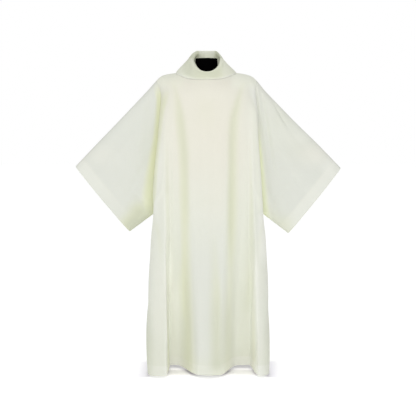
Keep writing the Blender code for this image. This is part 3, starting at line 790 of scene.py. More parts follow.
IVORY = (0.770, 0.784, 0.706)
IVORY_PALE = (0.810, 0.815, 0.760)
# warm patches of the cloth, and painted light on the chest and lit spots
IVORY_WARM_AND_LIT = (0.805, 0.752, 0.658)
IVORY_YELLOW_SHADE = (0.757, 0.770, 0.538)  # painted shade with bounce light, yellower, in creases where light passes from cloth to cloth
IVORY_SHADE_AND_WEAVE = (0.600, 0.620, 0.500)  # painted shade, and the darker threads of the weave
IVORY_PAINTED_LIGHT = (0.862, 0.866, 0.805)  # painted light on ridges and where light comes through from behind
# painted bounce light, pale yellow, where painted light falls in a crease
IVORY_BOUNCE_LIGHT = (0.900, 0.940, 0.655)
# painted shade, cooler, low on the body and on the sleeves
IVORY_COOL_SHADE = (0.727, 0.740, 0.692)


def woven(name, base, pale, warm_and_lit, deep):
    m = Nodes(name)
    grain = m.attribute("grain").outputs["Vector"]
    # the cloth's slow changes of shade, then its threads in both directions
    cloud = m.noise(grain, 7.0, 3.0, 0.55)
    colour = m.mix(m.span(cloud, 0.35, 0.68, 0.0, 0.35), base, pale)
    blush = m.noise(m.scaled(grain, (1.0, 0.55, 1.0)), 4.1, 1.0, 0.4)
    colour = m.mix(m.span(blush, 0.50, 0.72, 0.0, 0.16), colour, warm_and_lit)
    # painted light makes the chest and lit spots paler and warmer; painted shade makes the low body and the sleeves
    # cooler
    glow = m.attribute("glow").outputs["Fac"]
    colour = m.mix(glow, colour, warm_and_lit)
    colour = m.mix(m.attribute("cool").outputs["Fac"], colour, IVORY_COOL_SHADE)
    warp = m.noise(m.scaled(grain, (1500.0, 26.0, 1.0)), 1.0, 2.0, 0.6)
    weft = m.noise(m.scaled(grain, (22.0, 1300.0, 1.0)), 1.0, 2.0, 0.6)
    threads = m.math("MULTIPLY", warp, weft)
    colour = m.mix(m.span(threads, 0.16, 0.36, 0.0, 0.16), colour, IVORY_SHADE_AND_WEAVE)
    # a turned hem is two layers thick, so it shows paler; creases get painted shade with bounce light, so they show
    # yellower
    band = m.attribute("band").outputs["Fac"]
    colour = m.mix(m.math("MULTIPLY", band, 0.80), colour, pale)
    crease = m.attribute("crease").outputs["Fac"]
    clear = m.attribute("clear").outputs["Fac"]
    # painted light
    colour = m.mix(clear, colour, IVORY_PAINTED_LIGHT)
    colour = m.mix(crease, colour, m.mix(clear, deep, IVORY_BOUNCE_LIGHT))
    # painted shade
    colour = m.mix(m.attribute("dim").outputs["Fac"], colour, IVORY_SHADE_AND_WEAVE)
    m.link(colour, m.shader.inputs["Base Color"])
    m.link(m.span(cloud, 0.3, 0.7, 0.70, 0.82), m.shader.inputs["Roughness"])
    soft = m.bump(cloud, 0.0012, 0.25)
    m.link(m.bump(threads, 0.0006, 0.30, soft), m.shader.inputs["Normal"])
    m.set(Specular_IOR_Level=0.22, Sheen_Weight=0.12, Sheen_Roughness=0.45)
    return m.made


def thread_look():
    m = Nodes("ivory_thread")
    where = m.add("ShaderNodeTexCoord").outputs["Object"]
    twist = m.noise(m.scaled(where, (900.0, 900.0, 900.0)), 1.0, 1.0)
    m.link(m.mix(m.span(twist, 0.35, 0.65, 0.0, 1.0), (0.80, 0.79, 0.70), (0.70, 0.69, 0.59)), m.shader.inputs["Base Color"])
    m.link(m.bump(twist, 0.0002, 0.3), m.shader.inputs["Normal"])
    m.set(Roughness=0.55, Specular_IOR_Level=0.3)
    return m.made


def jersey_look():
    """The knitted black cover of the dress form."""
    m = Nodes("form_cover_jersey")
    where = m.add("ShaderNodeTexCoord").outputs["Object"]
    ribs = m.noise(m.scaled(where, (800.0, 800.0, 160.0)), 1.0, 2.0, 0.6)
    dust = m.noise(where, 9.0, 3.0, 0.5)
    colour = m.mix(m.span(ribs, 0.3, 0.7, 0.0, 1.0), (0.0005, 0.0005, 0.0005), (0.0011, 0.0011, 0.0012))
    colour = m.mix(m.span(dust, 0.55, 0.8, 0.0, 0.35), colour, (0.002, 0.002, 0.002))
    m.link(colour, m.shader.inputs["Base Color"])
    m.link(m.bump(ribs, 0.0003, 0.3), m.shader.inputs["Normal"])
    m.set(Roughness=0.95, Specular_IOR_Level=0.005)
    return m.made


def steel_look():
    """Brushed steel tube: fine scratches round the pole."""
    m = Nodes("pole_steel_brushed")
    where = m.add("ShaderNodeTexCoord").outputs["Object"]
    lines = m.noise(m.scaled(where, (30.0, 30.0, 1400.0)), 1.0, 2.0, 0.6)
    marks = m.noise(where, 14.0, 3.0, 0.6)
    m.link(m.mix(m.span(marks, 0.4, 0.75, 0.0, 1.0), (0.58, 0.58, 0.59), (0.48, 0.48, 0.49)), m.shader.inputs["Base Color"])
    m.link(m.span(lines, 0.3, 0.7, 0.26, 0.42), m.shader.inputs["Roughness"])
    m.link(m.bump(lines, 0.00008, 0.2), m.shader.inputs["Normal"])
    m.set(Metallic=1.0)
    return m.made


def paint_look():
    """Powder-coated base: fine orange peel and a few scuffs."""
    m = Nodes("base_paint_powder")
    where = m.add("ShaderNodeTexCoord").outputs["Object"]
    peel = m.noise(where, 900.0, 2.0, 0.5)
    scuff = m.noise(m.scaled(where, (18.0, 60.0, 18.0)), 1.0, 4.0, 0.7)
    m.link(m.mix(m.span(scuff, 0.60, 0.78, 0.0, 0.6), (0.028, 0.028, 0.030), (0.075, 0.075, 0.078)), m.shader.inputs["Base Color"])
    m.link(m.span(scuff, 0.4, 0.8, 0.42, 0.60), m.shader.inputs["Roughness"])
    m.link(m.bump(peel, 0.0002, 0.25), m.shader.inputs["Normal"])
    return m.made


# ---------------------------------------------------------------- the pieces
def body_panel(facing, valleys, columns, table, waves):
    P = body_grid(facing, valleys, columns)
    flip = facing < 0
    N = normals(P, False, flip)
    s, v = across_run(P), down_run(P)
    width = s[:, -1:]
    edge = np.minimum(s, width - s)
    near_edge = smooth((edge - 0.002) / 0.030) * smooth(v / 0.045)
    X, Z = P[..., 0], P[..., 2]
    lift = folds(table, X, Z) * smooth((edge - 0.002) / 0.018) * smooth(v / 0.03)
    # painted shade on the valleys' walls and in troughs, and painted light on their floors
    # and on the ridges at both sides
    trough = np.clip(-lift / 0.008, 0.0, 1.0)
    crease, dim = 0.50 * trough * (1 - 0.22 * smooth((0.38 - Z) / 0.12)), 0.48 * trough * smooth((Z - 0.20) / 0.45)
    clear = 0.45 * np.exp(-(((edge - 0.075) / 0.055) ** 4)) * smooth((1.16 - Z) / 0.22) * smooth((Z - 0.35) / 0.35)
    clear = np.maximum(clear, 0.95 * np.where(X > 0, np.exp(-(((edge - 0.030) / 0.036) ** 4)), 0.0) * smooth((1.42 - Z) / 0.06) * smooth((Z - 0.80) / 0.15))
    for i in range(YOKE_ROWS, len(P)):
        z = float(Z[i].mean())
        for valley in valleys:
            a, b, c, d = valley_edges(valley, z)
            inside = smooth((X[i] - a) / (b - a)) - smooth((X[i] - c) / (d - c))
            grown = min(1.0, valley[10] / 0.1) * smooth((VALLEY_TOP_Z - 0.05 - z) / 0.7)
            outer = float(smooth((z - 0.15) / 0.3)) * np.where(X[i] < 0, X[i] < (a + d) / 2, X[i] > (a + d) / 2)
            wall = 0.26 if valley[0] == "right" else 0.46
            crease[i] += grown * (0.10 * inside + wall * (1 - 0.8 * outer) * (4 * inside * (1 - inside)) ** 2)
            floor = VALLEY_FLOOR_LIGHT[valley[0]] * grown * inside * float(smooth((0.56 - z) / 0.30) * (0.6 + 0.4 * smooth((z - 0.25) / 0.15)))
            if valley[0] == "left":
                floor = floor * (1 - smooth((X[i] + 0.130) / 0.030))
            clear[i] = np.maximum(clear[i], floor)
    # the skirt's flanks turn away from the light
    flank = smooth((np.abs(X) - 0.238) / 0.050) * smooth((0.46 - Z) / 0.30)
    dim += 0.42 * flank
    low = smooth((1.35 - P[..., 2]) / 1.0)
    # painted light with a little yellow painted shade on the shoulders
    shoulder = smooth((Z - 1.33) / 0.05) * smooth((np.abs(X) - 0.09) / 0.04)
    clear = np.maximum(clear, np.where(X < 0, 0.25, 0.60) * shoulder)
    crease += 0.14 * shoulder
    if facing < 0:
        crease += folds(FRONT_SHADE_STREAKS, X, Z)
        # painted light on some of the valleys' walls
        wall = 0.8 * np.exp(-((X + 0.179) / 0.012) ** 2) * smooth((0.66 - Z) / 0.15)
        wall += 0.85 * np.exp(-((X - 0.220) / 0.014) ** 2) * smooth((0.66 - Z) / 0.15)
        wall += 0.6 * np.exp(-((X - 0.165) / 0.035) ** 2) * smooth((0.20 - Z) / 0.12)
        wall += 0.45 * np.exp(-((X - 0.098) / 0.011) ** 2) * smooth((1.12 - Z) / 0.2) * smooth((Z - 0.28) / 0.12)
        wall += 0.60 * np.exp(-((X + 0.191) / 0.012) ** 2) * smooth((0.90 - Z) / 0.08) * smooth((Z - 0.38) / 0.12)
        clear = np.maximum(clear, wall * smooth((Z - 0.06) / 0.15))
        # light reaches the right side from beside the armhole
        turn = 0.081 - 0.074 * (Z - 0.873)
        lit = np.where(X > 0, np.exp(-(((edge - turn - 0.028) / 0.027) ** 4)), 0.0) * smooth((Z - 0.74) / 0.08) * smooth((1.32 - Z) / 0.10)
        clear = np.maximum(clear, 0.58 * lit)
        crease += 0.14 * lit
        # painted shade on the lower left flank and in a patch low on the right, and painted light low at the right side
        lower_left_shade = smooth((-X - 0.188) / 0.025) * smooth((0.36 - Z) / 0.24)
        dim += 0.24 * lower_left_shade
        crease += 0.03 * lower_left_shade
        dim += 0.18 * np.exp(-((X - 0.165) / 0.032) ** 2 - ((Z - 0.36) / 0.11) ** 2)
        clear = np.maximum(clear, 0.8 * smooth((X - 0.225) / 0.02) * smooth((0.80 - Z) / 0.04) * smooth((Z - 0.50) / 0.12))
    lift += near_edge * (0.35 + 1.25 * low) * ripples(s - width / 2, P[..., 2], waves)
    P = P + N * lift[..., None]
    # the hem hangs a little unevenly
    sag = np.sin(9.0 * P[..., 0] + 0.7 * facing) * 0.0008 * smooth((0.30 - P[..., 2]) / 0.25)
    if facing < 0:
        rise = 0.0025 + 0.0055 * np.exp(-(((X + 0.008) / 0.075) ** 4))
        rise += 0.0030 * (np.exp(-((X + 0.165) / 0.040) ** 2) + np.exp(-((X - 0.190) / 0.040) ** 2))
        sag += rise * smooth((0.26 - Z) / 0.24)
    P[..., 2] += sag * smooth(edge / 0.05)
    return P, {"crease": np.clip(crease, 0.0, 1.0), "clear": clear, "dim": dim}


def sleeve_grid(side, cuff, front, back, along=84):
    """The plain grid of one sleeve: rings from the armhole to the cuff."""
    edge, inner = (0, 2) if side < 0 else (-1, -3)
    last = YOKE_ROWS + ARMHOLE_ROWS
    ring = []
    for rows, order in ((front, range(0, last + 1)), (back, range(last - 1, 0, -1))):
        for r in order:
            point = rows[r, edge]
            start = point + unit(point - rows[r, inner]) * SLEEVE_START
            if r == 0:
                start[1] = 0.0
            if r == last:
                start = point + np.array([side * 0.0016, 0.0, 0.0030])
                start[1] = 0.0
            ring.append(start)
    ring = np.array(ring)
    run = run_along(ring[: last + 1])
    share = np.concatenate([run, run[-2:0:-1]]) / run[-1]
    top = np.array([side * cuff[0], 0.0, cuff[1]])
    bottom = np.array([side * cuff[2], 0.0, cuff[3]])
    flat_start = ring * np.array([1.0, 0.0, 1.0])
    face = np.array([-1.0] * (last + 1) + [1.0] * (last - 1))
    face[0] = face[last] = 0.0
    end = top + (bottom - top) * share[:, None]
    rows = []
    for j in range(along + 1):
        t = (j / along) ** 1.15
        flat = flat_start + (end - flat_start) * t
        lens = np.maximum(0.0, 1 - (2 * share - 1) ** 2) ** 0.45
        full = SLEEVE_HALF_DEPTH + (CUFF_HALF_DEPTH - SLEEVE_HALF_DEPTH) * t
        blend = smooth(t / 0.35)
        half = np.abs(ring[:, 1]) * (1 - blend) + full * lens * blend
        flat[:, 1] = face * half
        rows.append(flat)
    return np.array(rows), share, ring


def sleeve(name, side, cuff, front, back, look):
    P, share, ring = sleeve_grid(side, cuff, front, back)
    flip = side < 0
    N = normals(P, True, flip)
    v = down_run(P)
    start_fade = smooth((v - 0.001) / 0.020)
    tables = SLEEVE_FOLDS[name]
    X, Y, Z = P[..., 0], P[..., 1], P[..., 2]
    face_fade = smooth(np.abs(Y) / 0.016)
    lift = np.where(Y < 0, folds(tables["front"], X, Z), folds(tables["back"], X, Z)) * face_fade
    around = across_run(P)
    lift += ripples(around, Z + 0.4 * X, SLEEVE_WAVES) * smooth(v / 0.12) * smooth(np.abs(Y) / 0.03)
    P = P + N * (lift * start_fade)[..., None]
    # the top fold dips a little where it leaves the shoulder
    dip = np.exp(-((share / 0.10) ** 2)) * (0.0075 if side > 0 else 0.0030)
    P[..., 2] -= dip * smooth(v / 0.07) * (1 - smooth((v - 0.22) / 0.25))
    # the seam allowance at the armhole goes inside, beside the panel's
    level = smooth((ring[:, 2] - 1.33) / 0.08)
    open_ = smooth((np.abs(ring[:, 1]) - 0.002) / 0.012)
    way = unit(
        np.stack(
            [-side * (1.0 - 0.3 * open_) * (1 - 0.45 * level), -np.sign(ring[:, 1]) * 0.75 * open_ * (1 - level), -0.9 * level],
            axis=1,
        )
    )
    inside = [P[0] + way * d for d in (ALLOWANCE, 0.0045, 0.0012)]
    P = np.concatenate([np.array(inside), P], axis=0)
    outer = P.copy()
    # painted shade, yellower, in the hollow beside the body, wider towards the underarm, with painted light on part of
    # it
    far, starts, full, paler, corner = SLEEVE_PAINTED_SHADE_AND_LIGHT[name]
    reach = 0.022 + far * smooth((1.37 - ring[:, 2]) / 0.50)
    away = down_run(outer)
    near = 1 - smooth((away - ALLOWANCE - 0.8 * reach) / (0.9 * reach))
    crease = near * smooth((starts - ring[:, 2]) / (starts - full))
    shade = 0.34 * crease * smooth((full - 1.18) / 0.1) * smooth((ring[:, 2] - 1.00) / 0.20)
    crease *= 1 - 0.25 * smooth((1.10 - ring[:, 2]) / 0.15)
    # the lower edge is in the shade near the body and again near the cuff
    X, Z = side * outer[..., 0], outer[..., 2]
    off = smooth((away - 0.015) / 0.040)
    low = np.exp(-((X - 0.326) / 0.044) ** 2 - ((Z - 0.770) / 0.040) ** 2) * (0.2 + 0.6 * off if side < 0 else 0.0)
    low += 1.3 * np.exp(-((X - 0.358) / 0.052) ** 2 - ((Z - 0.704) / 0.044) ** 2)
    low = np.maximum(0.95 * low, 1.20 * np.exp(-(((1 - share) * 0.5 / 0.055) ** 2)) * smooth(away / 0.10))
    low = np.clip(corner * low, 0.0, 1.0)
    crease, dim = np.maximum(crease, low), 0.90 * low + shade
    paler = paler + (0.30 * smooth((1.06 - ring[:, 2]) / 0.14) * (1 - 0.45 * off) if side < 0 else 0.0)
    clear = paler * (1 - smooth((away - ALLOWANCE - reach) / reach)) * smooth((starts - ring[:, 2]) / (starts - full))
    # painted light and painted shade in spots on the sleeve's faces
    glow = (0.5 if side > 0 else 0.25) * np.exp(-((X - 0.515) / 0.085) ** 2 - ((Z - 1.045) / 0.055) ** 2)
    clear = np.maximum(clear, 0.6 * glow)
    shaded = 0.16 * np.exp(-((X - 0.345) / 0.05) ** 2 - ((Z - 1.22) / 0.06) ** 2) if side > 0 else 0.0
    dim = dim + shaded
    if side > 0:
        dim = dim + 0.15 * np.exp(-((X - 0.417) / 0.07) ** 2 - ((Z - 1.067) / 0.07) ** 2)
        clear = np.maximum(clear, 0.10 * np.exp(-((X - 0.500) / 0.040) ** 2 - ((Z - 0.873) / 0.040) ** 2))
        clear = np.maximum(clear, 0.45 * np.exp(-((X - 0.580) / 0.045) ** 2 - ((Z - 1.000) / 0.045) ** 2))
        clear = np.maximum(clear, 0.30 * np.exp(-((X - 0.440) / 0.045) ** 2 - ((Z - 1.125) / 0.040) ** 2))
    # less painted cool shade on the top of the right sleeve
    top_shade_factor = 1 - (0.5 * smooth((Z - 1.00) / 0.15) if side > 0 else 0.0) * np.ones_like(Z)
    # the doubled cloth shows paler, with a soft edge
    from_edge = down_run(P[::-1])[::-1]
    double = 1 - smooth((from_edge - CUFF_DEPTH + 0.009) / 0.018)
    P, _ = turned(P, True, flip, CUFF_DEPTH)
    double = np.concatenate([double, np.ones((len(P) - len(double), P.shape[1]))])
    fade = smooth((P[..., 2] - 0.78) / 0.16)
    band = 0.62 * double * (1 - 0.75 * corner * (1 - fade))
    more = np.zeros((len(P) - len(crease), P.shape[1]))
    crease, clear, dim, glow = [np.concatenate([part, more]) for part in (crease, clear, dim, glow)]
    top_shade_factor = np.concatenate([top_shade_factor, more + 1])
    # painted light on the right cuff's band
    if side > 0:
        clear = np.maximum(clear, 0.20 * band)
    # painted cool shade over the sleeve, less in creases, on the cuff band and in lit spots
    cool = 0.9 * (1 - crease) * (1 - 0.9 * band) * (1 - glow) * top_shade_factor
    made = shell(name + "_cloth", P, look, closed=True, flip=flip, band=band, crease=crease, clear=clear, dim=dim, cool=cool, glow=glow)
    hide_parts(name)
    return made, outer


def panel(name, facing, P, look, **tints):
    flip = facing < 0
    wide = panel_allowances(P, facing)
    full, band = turned(wide, False, flip, HEM_DEPTH, 14)
    for key, tint in tints.items():
        tint = np.pad(tint, ((3, 0), (3, 3)), mode="edge")
        tints[key] = np.concatenate([tint, np.repeat(tint[-1:], len(full) - len(tint), axis=0)])
    made = shell(name + "_cloth", full, look, flip=flip, band=band, **tints)
    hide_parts(name)
    return made


def ring_points(middle, half, front, back, z_front, z_side, z_back, square, count):
    """One closed ring round the neck, from the front round to the right."""
    a = 2 * math.pi * np.arange(count) / count
    s, c = np.sin(a), np.cos(a)
    power = 2.0 / square
    x = middle + half * np.sign(s) * np.abs(s) ** power
    y = np.where(c >= 0, front, back) * np.abs(c) ** power
    z = np.where(
        c >= 0,
        z_side + (z_front - z_side) * np.abs(c) ** 1.2,
        z_side + (z_back - z_side) * smooth(np.abs(c) / 0.85),
    )
    return np.stack([x, y, z], axis=1)


def spline_rows(rings, per):
    """More rings between those given, on smooth curves through their points."""
    rings = np.array(rings)
    t = down_run(rings)  # ring, column
    out = []
    for k in range(len(rings) - 1):
        for j in range(per if k < len(rings) - 2 else per + 1):
            f = j / per
            p0 = rings[k - 1] if k > 0 else 2 * rings[0] - rings[1]
            p1, p2 = rings[k], rings[k + 1]
            p3 = rings[k + 2] if k + 2 < len(rings) else 2 * rings[-1] - rings[-2]
            d1 = (t[k + 1] - t[k])[:, None]
            d0 = (t[k] - t[k - 1])[:, None] if k > 0 else d1
            d2 = (t[k + 2] - t[k + 1])[:, None] if k + 2 < len(rings) else d1
            m1 = (p1 - p0) / d0 * (d1 / (d0 + d1)) + (p2 - p1) / d1 * (d0 / (d0 + d1))
            m2 = (p2 - p1) / d1 * (d2 / (d1 + d2)) + (p3 - p2) / d2 * (d1 / (d1 + d2))
            out.append(
                p1 * (1 + 2 * f) * (1 - f) ** 2
                + m1 * d1 * f * (1 - f) ** 2
                + p2 * f * f * (3 - 2 * f)
                + m2 * d1 * f * f * (f - 1)
            )
    return np.array(out)


def ground(*panels):
    """The body panels as one surface that rays can be cast down on."""
    verts, faces = [], []
    for P in panels:
        first, count = len(verts), P.shape[1]
        verts += P.reshape(-1, 3).tolist()
        for r in range(len(P) - 1):
            for i in range(count - 1):
                a = first + r * count + i
                faces.append((a, a + 1, a + count + 1, a + count))
    return BVHTree.FromPolygons(verts, faces)


def lacks(point, under, lift):
    y = math.copysign(max(abs(point[1]), 0.002), point[1])
    hit, normal, _, _ = under.ray_cast(Vector((point[0], y, 2.0)), Vector((0, 0, -1)))
    if hit is None:
        return 0.0
    return max(0.0, hit.z + lift / max(abs(normal.z), 0.25) - point[2])


def collar(front, back, look, around=176):
    seam = []
    for k in range(around):
        a = 2 * math.pi * k / around
        x = NECK_X + NECK_HALF * math.sin(a) * 0.998
        point, _ = top_edge(x, -1 if math.cos(a) >= 0 else 1)
        seam.append(point + np.array([0.0, 0.0, 0.0014]))
    rings = [np.array(seam)]
    rings += [ring_points(*sizes, around) for _, *sizes in COLLAR_RINGS]
    edge = ring_points(*COLLAR_EDGE[1:], around)
    under = ground(front, back)
    for point in edge:
        point[2] = 1.2
        point[2] += lacks(point, under, COLLAR_LIFT)
    rings.append(edge)
    for ring in rings[-4:-1]:
        for point in ring:
            point[2] += lacks(point, under, COLLAR_LIFT * 1.8)
    P = spline_rows(rings, 6)
    v = down_run(P)
    P[..., 0] += 0.003 * smooth((-P[..., 1] - 0.02) / 0.05) * np.exp(-(((v / v[-1:] - 0.40) / 0.20) ** 2))
    for row in P[-26:]:
        for point in row:
            point[2] += lacks(point, under, COLLAR_LIFT)
    flip = True
    N = normals(P, True, flip)
    v = down_run(P)
    total = v[-1:]
    fall = smooth((v / total - 0.42) / 0.12)
    X, Y, Z = P[..., 0], P[..., 1], P[..., 2]
    lift = np.where(Y < 0, folds(COLLAR_FOLDS["front"], X, Z), folds(COLLAR_FOLDS["back"], X, Z))
    lift *= fall * smooth((total - v) / 0.02) * smooth(np.abs(Y) / 0.01)
    P = P + N * lift[..., None]
    outer = P.copy()
    # painted shade on the folded collar, deepest at the front, with painted light inside the back and painted shade in
    # its inside corners
    down = v / total
    dim = (1 - 0.5 * np.exp(-((down - 0.40) / 0.05) ** 2)) * (0.5 + 0.5 * smooth((total - v - COLLAR_DEPTH) / 0.003))
    front_part = smooth((X + 0.131) / 0.035) * (1 - smooth((X - 0.032) / 0.05)) * smooth((0.02 - Y) / 0.03)
    crease = (0.22 + 0.50 * front_part * smooth((X + 0.090) / 0.07)) * dim
    dim *= 0.10 + 0.67 * front_part
    dim *= 1 - 0.5 * smooth((down - 0.80) / 0.12) * (1 - smooth((X + 0.095) / 0.03))
    inside = (1 - smooth((down - 0.33) / 0.05)) * smooth((Y + 0.02) / 0.03)
    corners = (1 - smooth((down - 0.57) / 0.05)) * smooth((Y + 0.02) / 0.03)
    corners *= smooth((np.abs(X + 0.006) - 0.032) / 0.014) * smooth((down - 0.22) / 0.12)
    corners *= 1 - smooth((N[..., 1] - 0.10) / 0.35)
    dim = np.maximum(dim * (1 - inside), (0.55 + 0.45 * smooth((down - 0.34) / 0.06)) * corners)
    crease = np.maximum(crease * (1 - inside), corners) + 0.40 * inside * (1 - corners)
    inside = inside * (1 - corners)
    P, band = turned(P, True, flip, COLLAR_DEPTH, 5)
    more = np.zeros((len(P) - len(dim), P.shape[1]))
    dim, crease, inside = [np.concatenate([part, more]) for part in (dim, crease, inside)]
    made = shell("collar_cloth", P, look, closed=True, flip=flip, band=band, crease=crease, dim=dim, clear=inside)
    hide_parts("collar")
    return made, outer


def dress_form(look):
    """The covered torso, smooth and whole, with its flat-topped neck."""
    table = np.array(FORM_RINGS, float)
    zs = np.concatenate([np.linspace(0.760, 1.34, 60), np.linspace(1.345, 1.4888, 40)])
    bm = bmesh.new()
    rings = []
    count = 96
    for z in zs:
        half, front, back, square = [float(through(table[:, 0], table[:, k], z)) for k in range(1, 5)]
        rings.append([bm.verts.new(p) for p in ring_points(FORM_X, half, front, back, z, z, z, square, count)])
    for one, two in zip(rings[:-1], rings[1:]):
        for i in range(count):
            j = (i + 1) % count
            bm.faces.new((one[i], one[j], two[j], two[i]))
    for ring, way in ((rings[0], 1), (rings[-1], 1)):
        inner = bm.verts.new(sum((v.co for v in ring), Vector()) / count)
        for i in range(count):
            bm.faces.new((ring[i], ring[(i + 1) % count], inner))
    bmesh.ops.recalc_face_normals(bm, faces=bm.faces)
    mesh = bpy.data.meshes.new("form_cover_torso")
    bm.to_mesh(mesh)
    bm.free()
    made = put("form_cover_torso", mesh, look)
    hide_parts("form_torso")
    return made


def turned_piece(name, profile, look, count=96, x=0.0, y=0.0, oval=1.0):
    """A solid of revolution from a profile of (radius, z), closed at both ends."""
    bm = bmesh.new()
    rings = []
    for r, z in profile:
        rings.append(
            [
                bm.verts.new((x + r * math.cos(2 * math.pi * k / count), y + r * oval * math.sin(2 * math.pi * k / count), z))
                for k in range(count)
            ]
        )
    for one, two in zip(rings[:-1], rings[1:]):
        for i in range(count):
            j = (i + 1) % count
            bm.faces.new((one[i], one[j], two[j], two[i]))
    bm.faces.new(rings[0][::-1])
    bm.faces.new(rings[-1])
    bmesh.ops.recalc_face_normals(bm, faces=bm.faces)
    mesh = bpy.data.meshes.new(name)
    bm.to_mesh(mesh)
    bm.free()
    return put(name, mesh, look)


def camera_and_light():
    scene = bpy.context.scene
    scene.view_settings.view_transform = "Standard"
    data = bpy.data.cameras.new("camera")
    data.lens = 65.0
    data.sensor_width = 36.0
    data.clip_start, data.clip_end = 0.05, 60.0
    cam = bpy.data.objects.new("camera", data)
    scene.collection.objects.link(cam)
    cam.location = (0.0, -3.6, 1.25)
    aim = Vector((0.0, 0.0, 0.785)) - cam.location
    cam.rotation_mode = "QUATERNION"
    cam.rotation_quaternion = aim.to_track_quat("-Z", "Y")
    scene.camera = cam

    world = bpy.data.worlds.new("studio")
    scene.world = world
    world.use_nodes = True
    tree = world.node_tree
    sky = tree.nodes["Background"]
    sky.inputs["Color"].default_value = (0.985, 1.0, 0.990, 1.0)
    sky.inputs["Strength"].default_value = 0.560
    # the studio's white sweep behind the object
    sweep = tree.nodes.new("ShaderNodeBackground")
    sweep.inputs["Color"].default_value = (1.0, 1.0, 1.0, 1.0)
    sweep.inputs["Strength"].default_value = 1.0
    rays = tree.nodes.new("ShaderNodeLightPath")
    blend = tree.nodes.new("ShaderNodeMixShader")
    tree.links.new(rays.outputs["Is Camera Ray"], blend.inputs[0])
    tree.links.new(sky.outputs[0], blend.inputs[1])
    tree.links.new(sweep.outputs[0], blend.inputs[2])
    tree.links.new(blend.outputs[0], tree.nodes["World Output"].inputs["Surface"])

    def area(name, place, target, size, power, colour=(1.0, 1.0, 1.0)):
        light = bpy.data.lights.new(name, "AREA")
        light.shape = "DISK"
        light.size = size
        light.energy = power
        light.color = colour
        obj = bpy.data.objects.new(name, light)
        scene.collection.objects.link(obj)
        obj.location = place
        way = Vector(target) - Vector(place)
        obj.rotation_euler = way.to_track_quat("-Z", "Y").to_euler()

    area("top_softbox", (-0.25, -1.3, 3.3), (0.0, -0.05, 1.30), 1.5, 16.2, (1.0, 0.985, 0.960))
    area("front_fill", (-0.15, -2.8, 0.55), (0.0, 0.0, 0.45), 1.2, 6.6, (1.0, 0.985, 0.960))
    area("high_fill", (0.05, -2.5, 1.85), (0.0, 0.0, 1.45), 0.7, 4.4, (1.0, 0.985, 0.960))
    # a narrow light that reaches the back of the collar's inside
    snoot = bpy.data.lights.new("collar_snoot", "SPOT")
    snoot.energy = 32.0
    snoot.spot_size = math.radians(1.6)
    snoot.spot_blend = 1.0
    snoot.shadow_soft_size = 0.02
    obj = bpy.data.objects.new("collar_snoot", snoot)
    scene.collection.objects.link(obj)
    obj.location = (-0.004, -2.5, 1.75)
    way = Vector((-0.004, 0.06, 1.508)) - Vector(obj.location)
    obj.rotation_euler = way.to_track_quat("-Z", "Y").to_euler()

    floor = bpy.data.meshes.new("floor")
    floor.from_pydata([(-14, -14, 0), (14, -14, 0), (14, 14, 0), (-14, 14, 0)], [], [(0, 1, 2, 3)])
    m = Nodes("floor_white")
    where = m.add("ShaderNodeTexCoord").outputs["Object"]
    tone = m.noise(where, 1.3, 2.0)
    m.link(m.mix(m.span(tone, 0.3, 0.7, 0.0, 1.0), (0.93, 0.93, 0.93), (0.95, 0.95, 0.95)), m.shader.inputs["Base Color"])
    # the floor glows: its emission is shaped round the object to paint soft shadows under the hem, in the valleys and
    # beside it, brightening away from it
    place = m.add("ShaderNodeSeparateXYZ")
    m.link(where, place.inputs[0])
    across = m.math("ABSOLUTE", place.outputs["X"], 0.0)
    deep = m.math("ABSOLUTE", place.outputs["Y"], 0.0)
    below = m.math("ADD", m.span(deep, 0.060, 0.085, 0.42, 0.155), m.span(deep, 0.120, 0.170, 0.0, 0.40))
    rim = m.math("MULTIPLY", m.span(deep, 0.160, 0.175, 0.0, 0.12), m.span(deep, 0.205, 0.230, 1.0, 0.0))
    beside = m.math("MAXIMUM", m.span(across, 0.285, 0.370, 0.22, 0.48), m.span(deep, 0.168, 0.186, 0.15, 0.50))
    beside = m.math("MAXIMUM", beside, m.span(place.outputs["Y"], 0.01, 0.07, 0.15, 0.48))
    inner = m.math("MULTIPLY", m.math("ADD", below, rim), m.span(across, 0.270, 0.290, 1.0, 0.0))
    glow = m.math("ADD", inner, m.math("MULTIPLY", beside, m.span(across, 0.270, 0.290, 0.0, 1.0)))
    away = m.math("MULTIPLY", m.span(deep, 0.21, 0.25, 0.0, 1.0), 0.09)
    glow = m.math("SUBTRACT", m.math("MINIMUM", glow, 0.66), m.math("MULTIPLY", away, m.span(glow, 0.50, 0.57, 0.0, 1.0)))
    m.link(glow, m.shader.inputs["Emission Strength"])
    # painted shadow, tinted violet near the object
    hue = m.mix(m.span(across, 0.27, 0.31, 0.0, 1.0), (1.0, 0.92, 1.0), (0.86, 0.80, 1.0))
    m.link(m.mix(m.span(glow, 0.30, 0.46, 0.0, 1.0), hue, (1.0, 1.0, 1.0)), m.shader.inputs["Emission Color"])
    m.set(Roughness=0.9, Specular_IOR_Level=0.1)
    floor.materials.append(m.made)
    ground_obj = bpy.data.objects.new("floor", floor)
    scene.collection.objects.link(ground_obj)


def area_of(P, closed=False):
    a, b = P[:-1, :-1], P[:-1, 1:]
    c, d = P[1:, 1:], P[1:, :-1]
    total = np.linalg.norm(np.cross(b - a, c - a), axis=2).sum() / 2
    total += np.linalg.norm(np.cross(c - a, d - a), axis=2).sum() / 2
    if closed:
        a, b = P[:-1, -1], P[:-1, 0]
        c, d = P[1:, 0], P[1:, -1]
        total += np.linalg.norm(np.cross(b - a, c - a), axis=1).sum() / 2
        total += np.linalg.norm(np.cross(c - a, d - a), axis=1).sum() / 2
    return float(total)


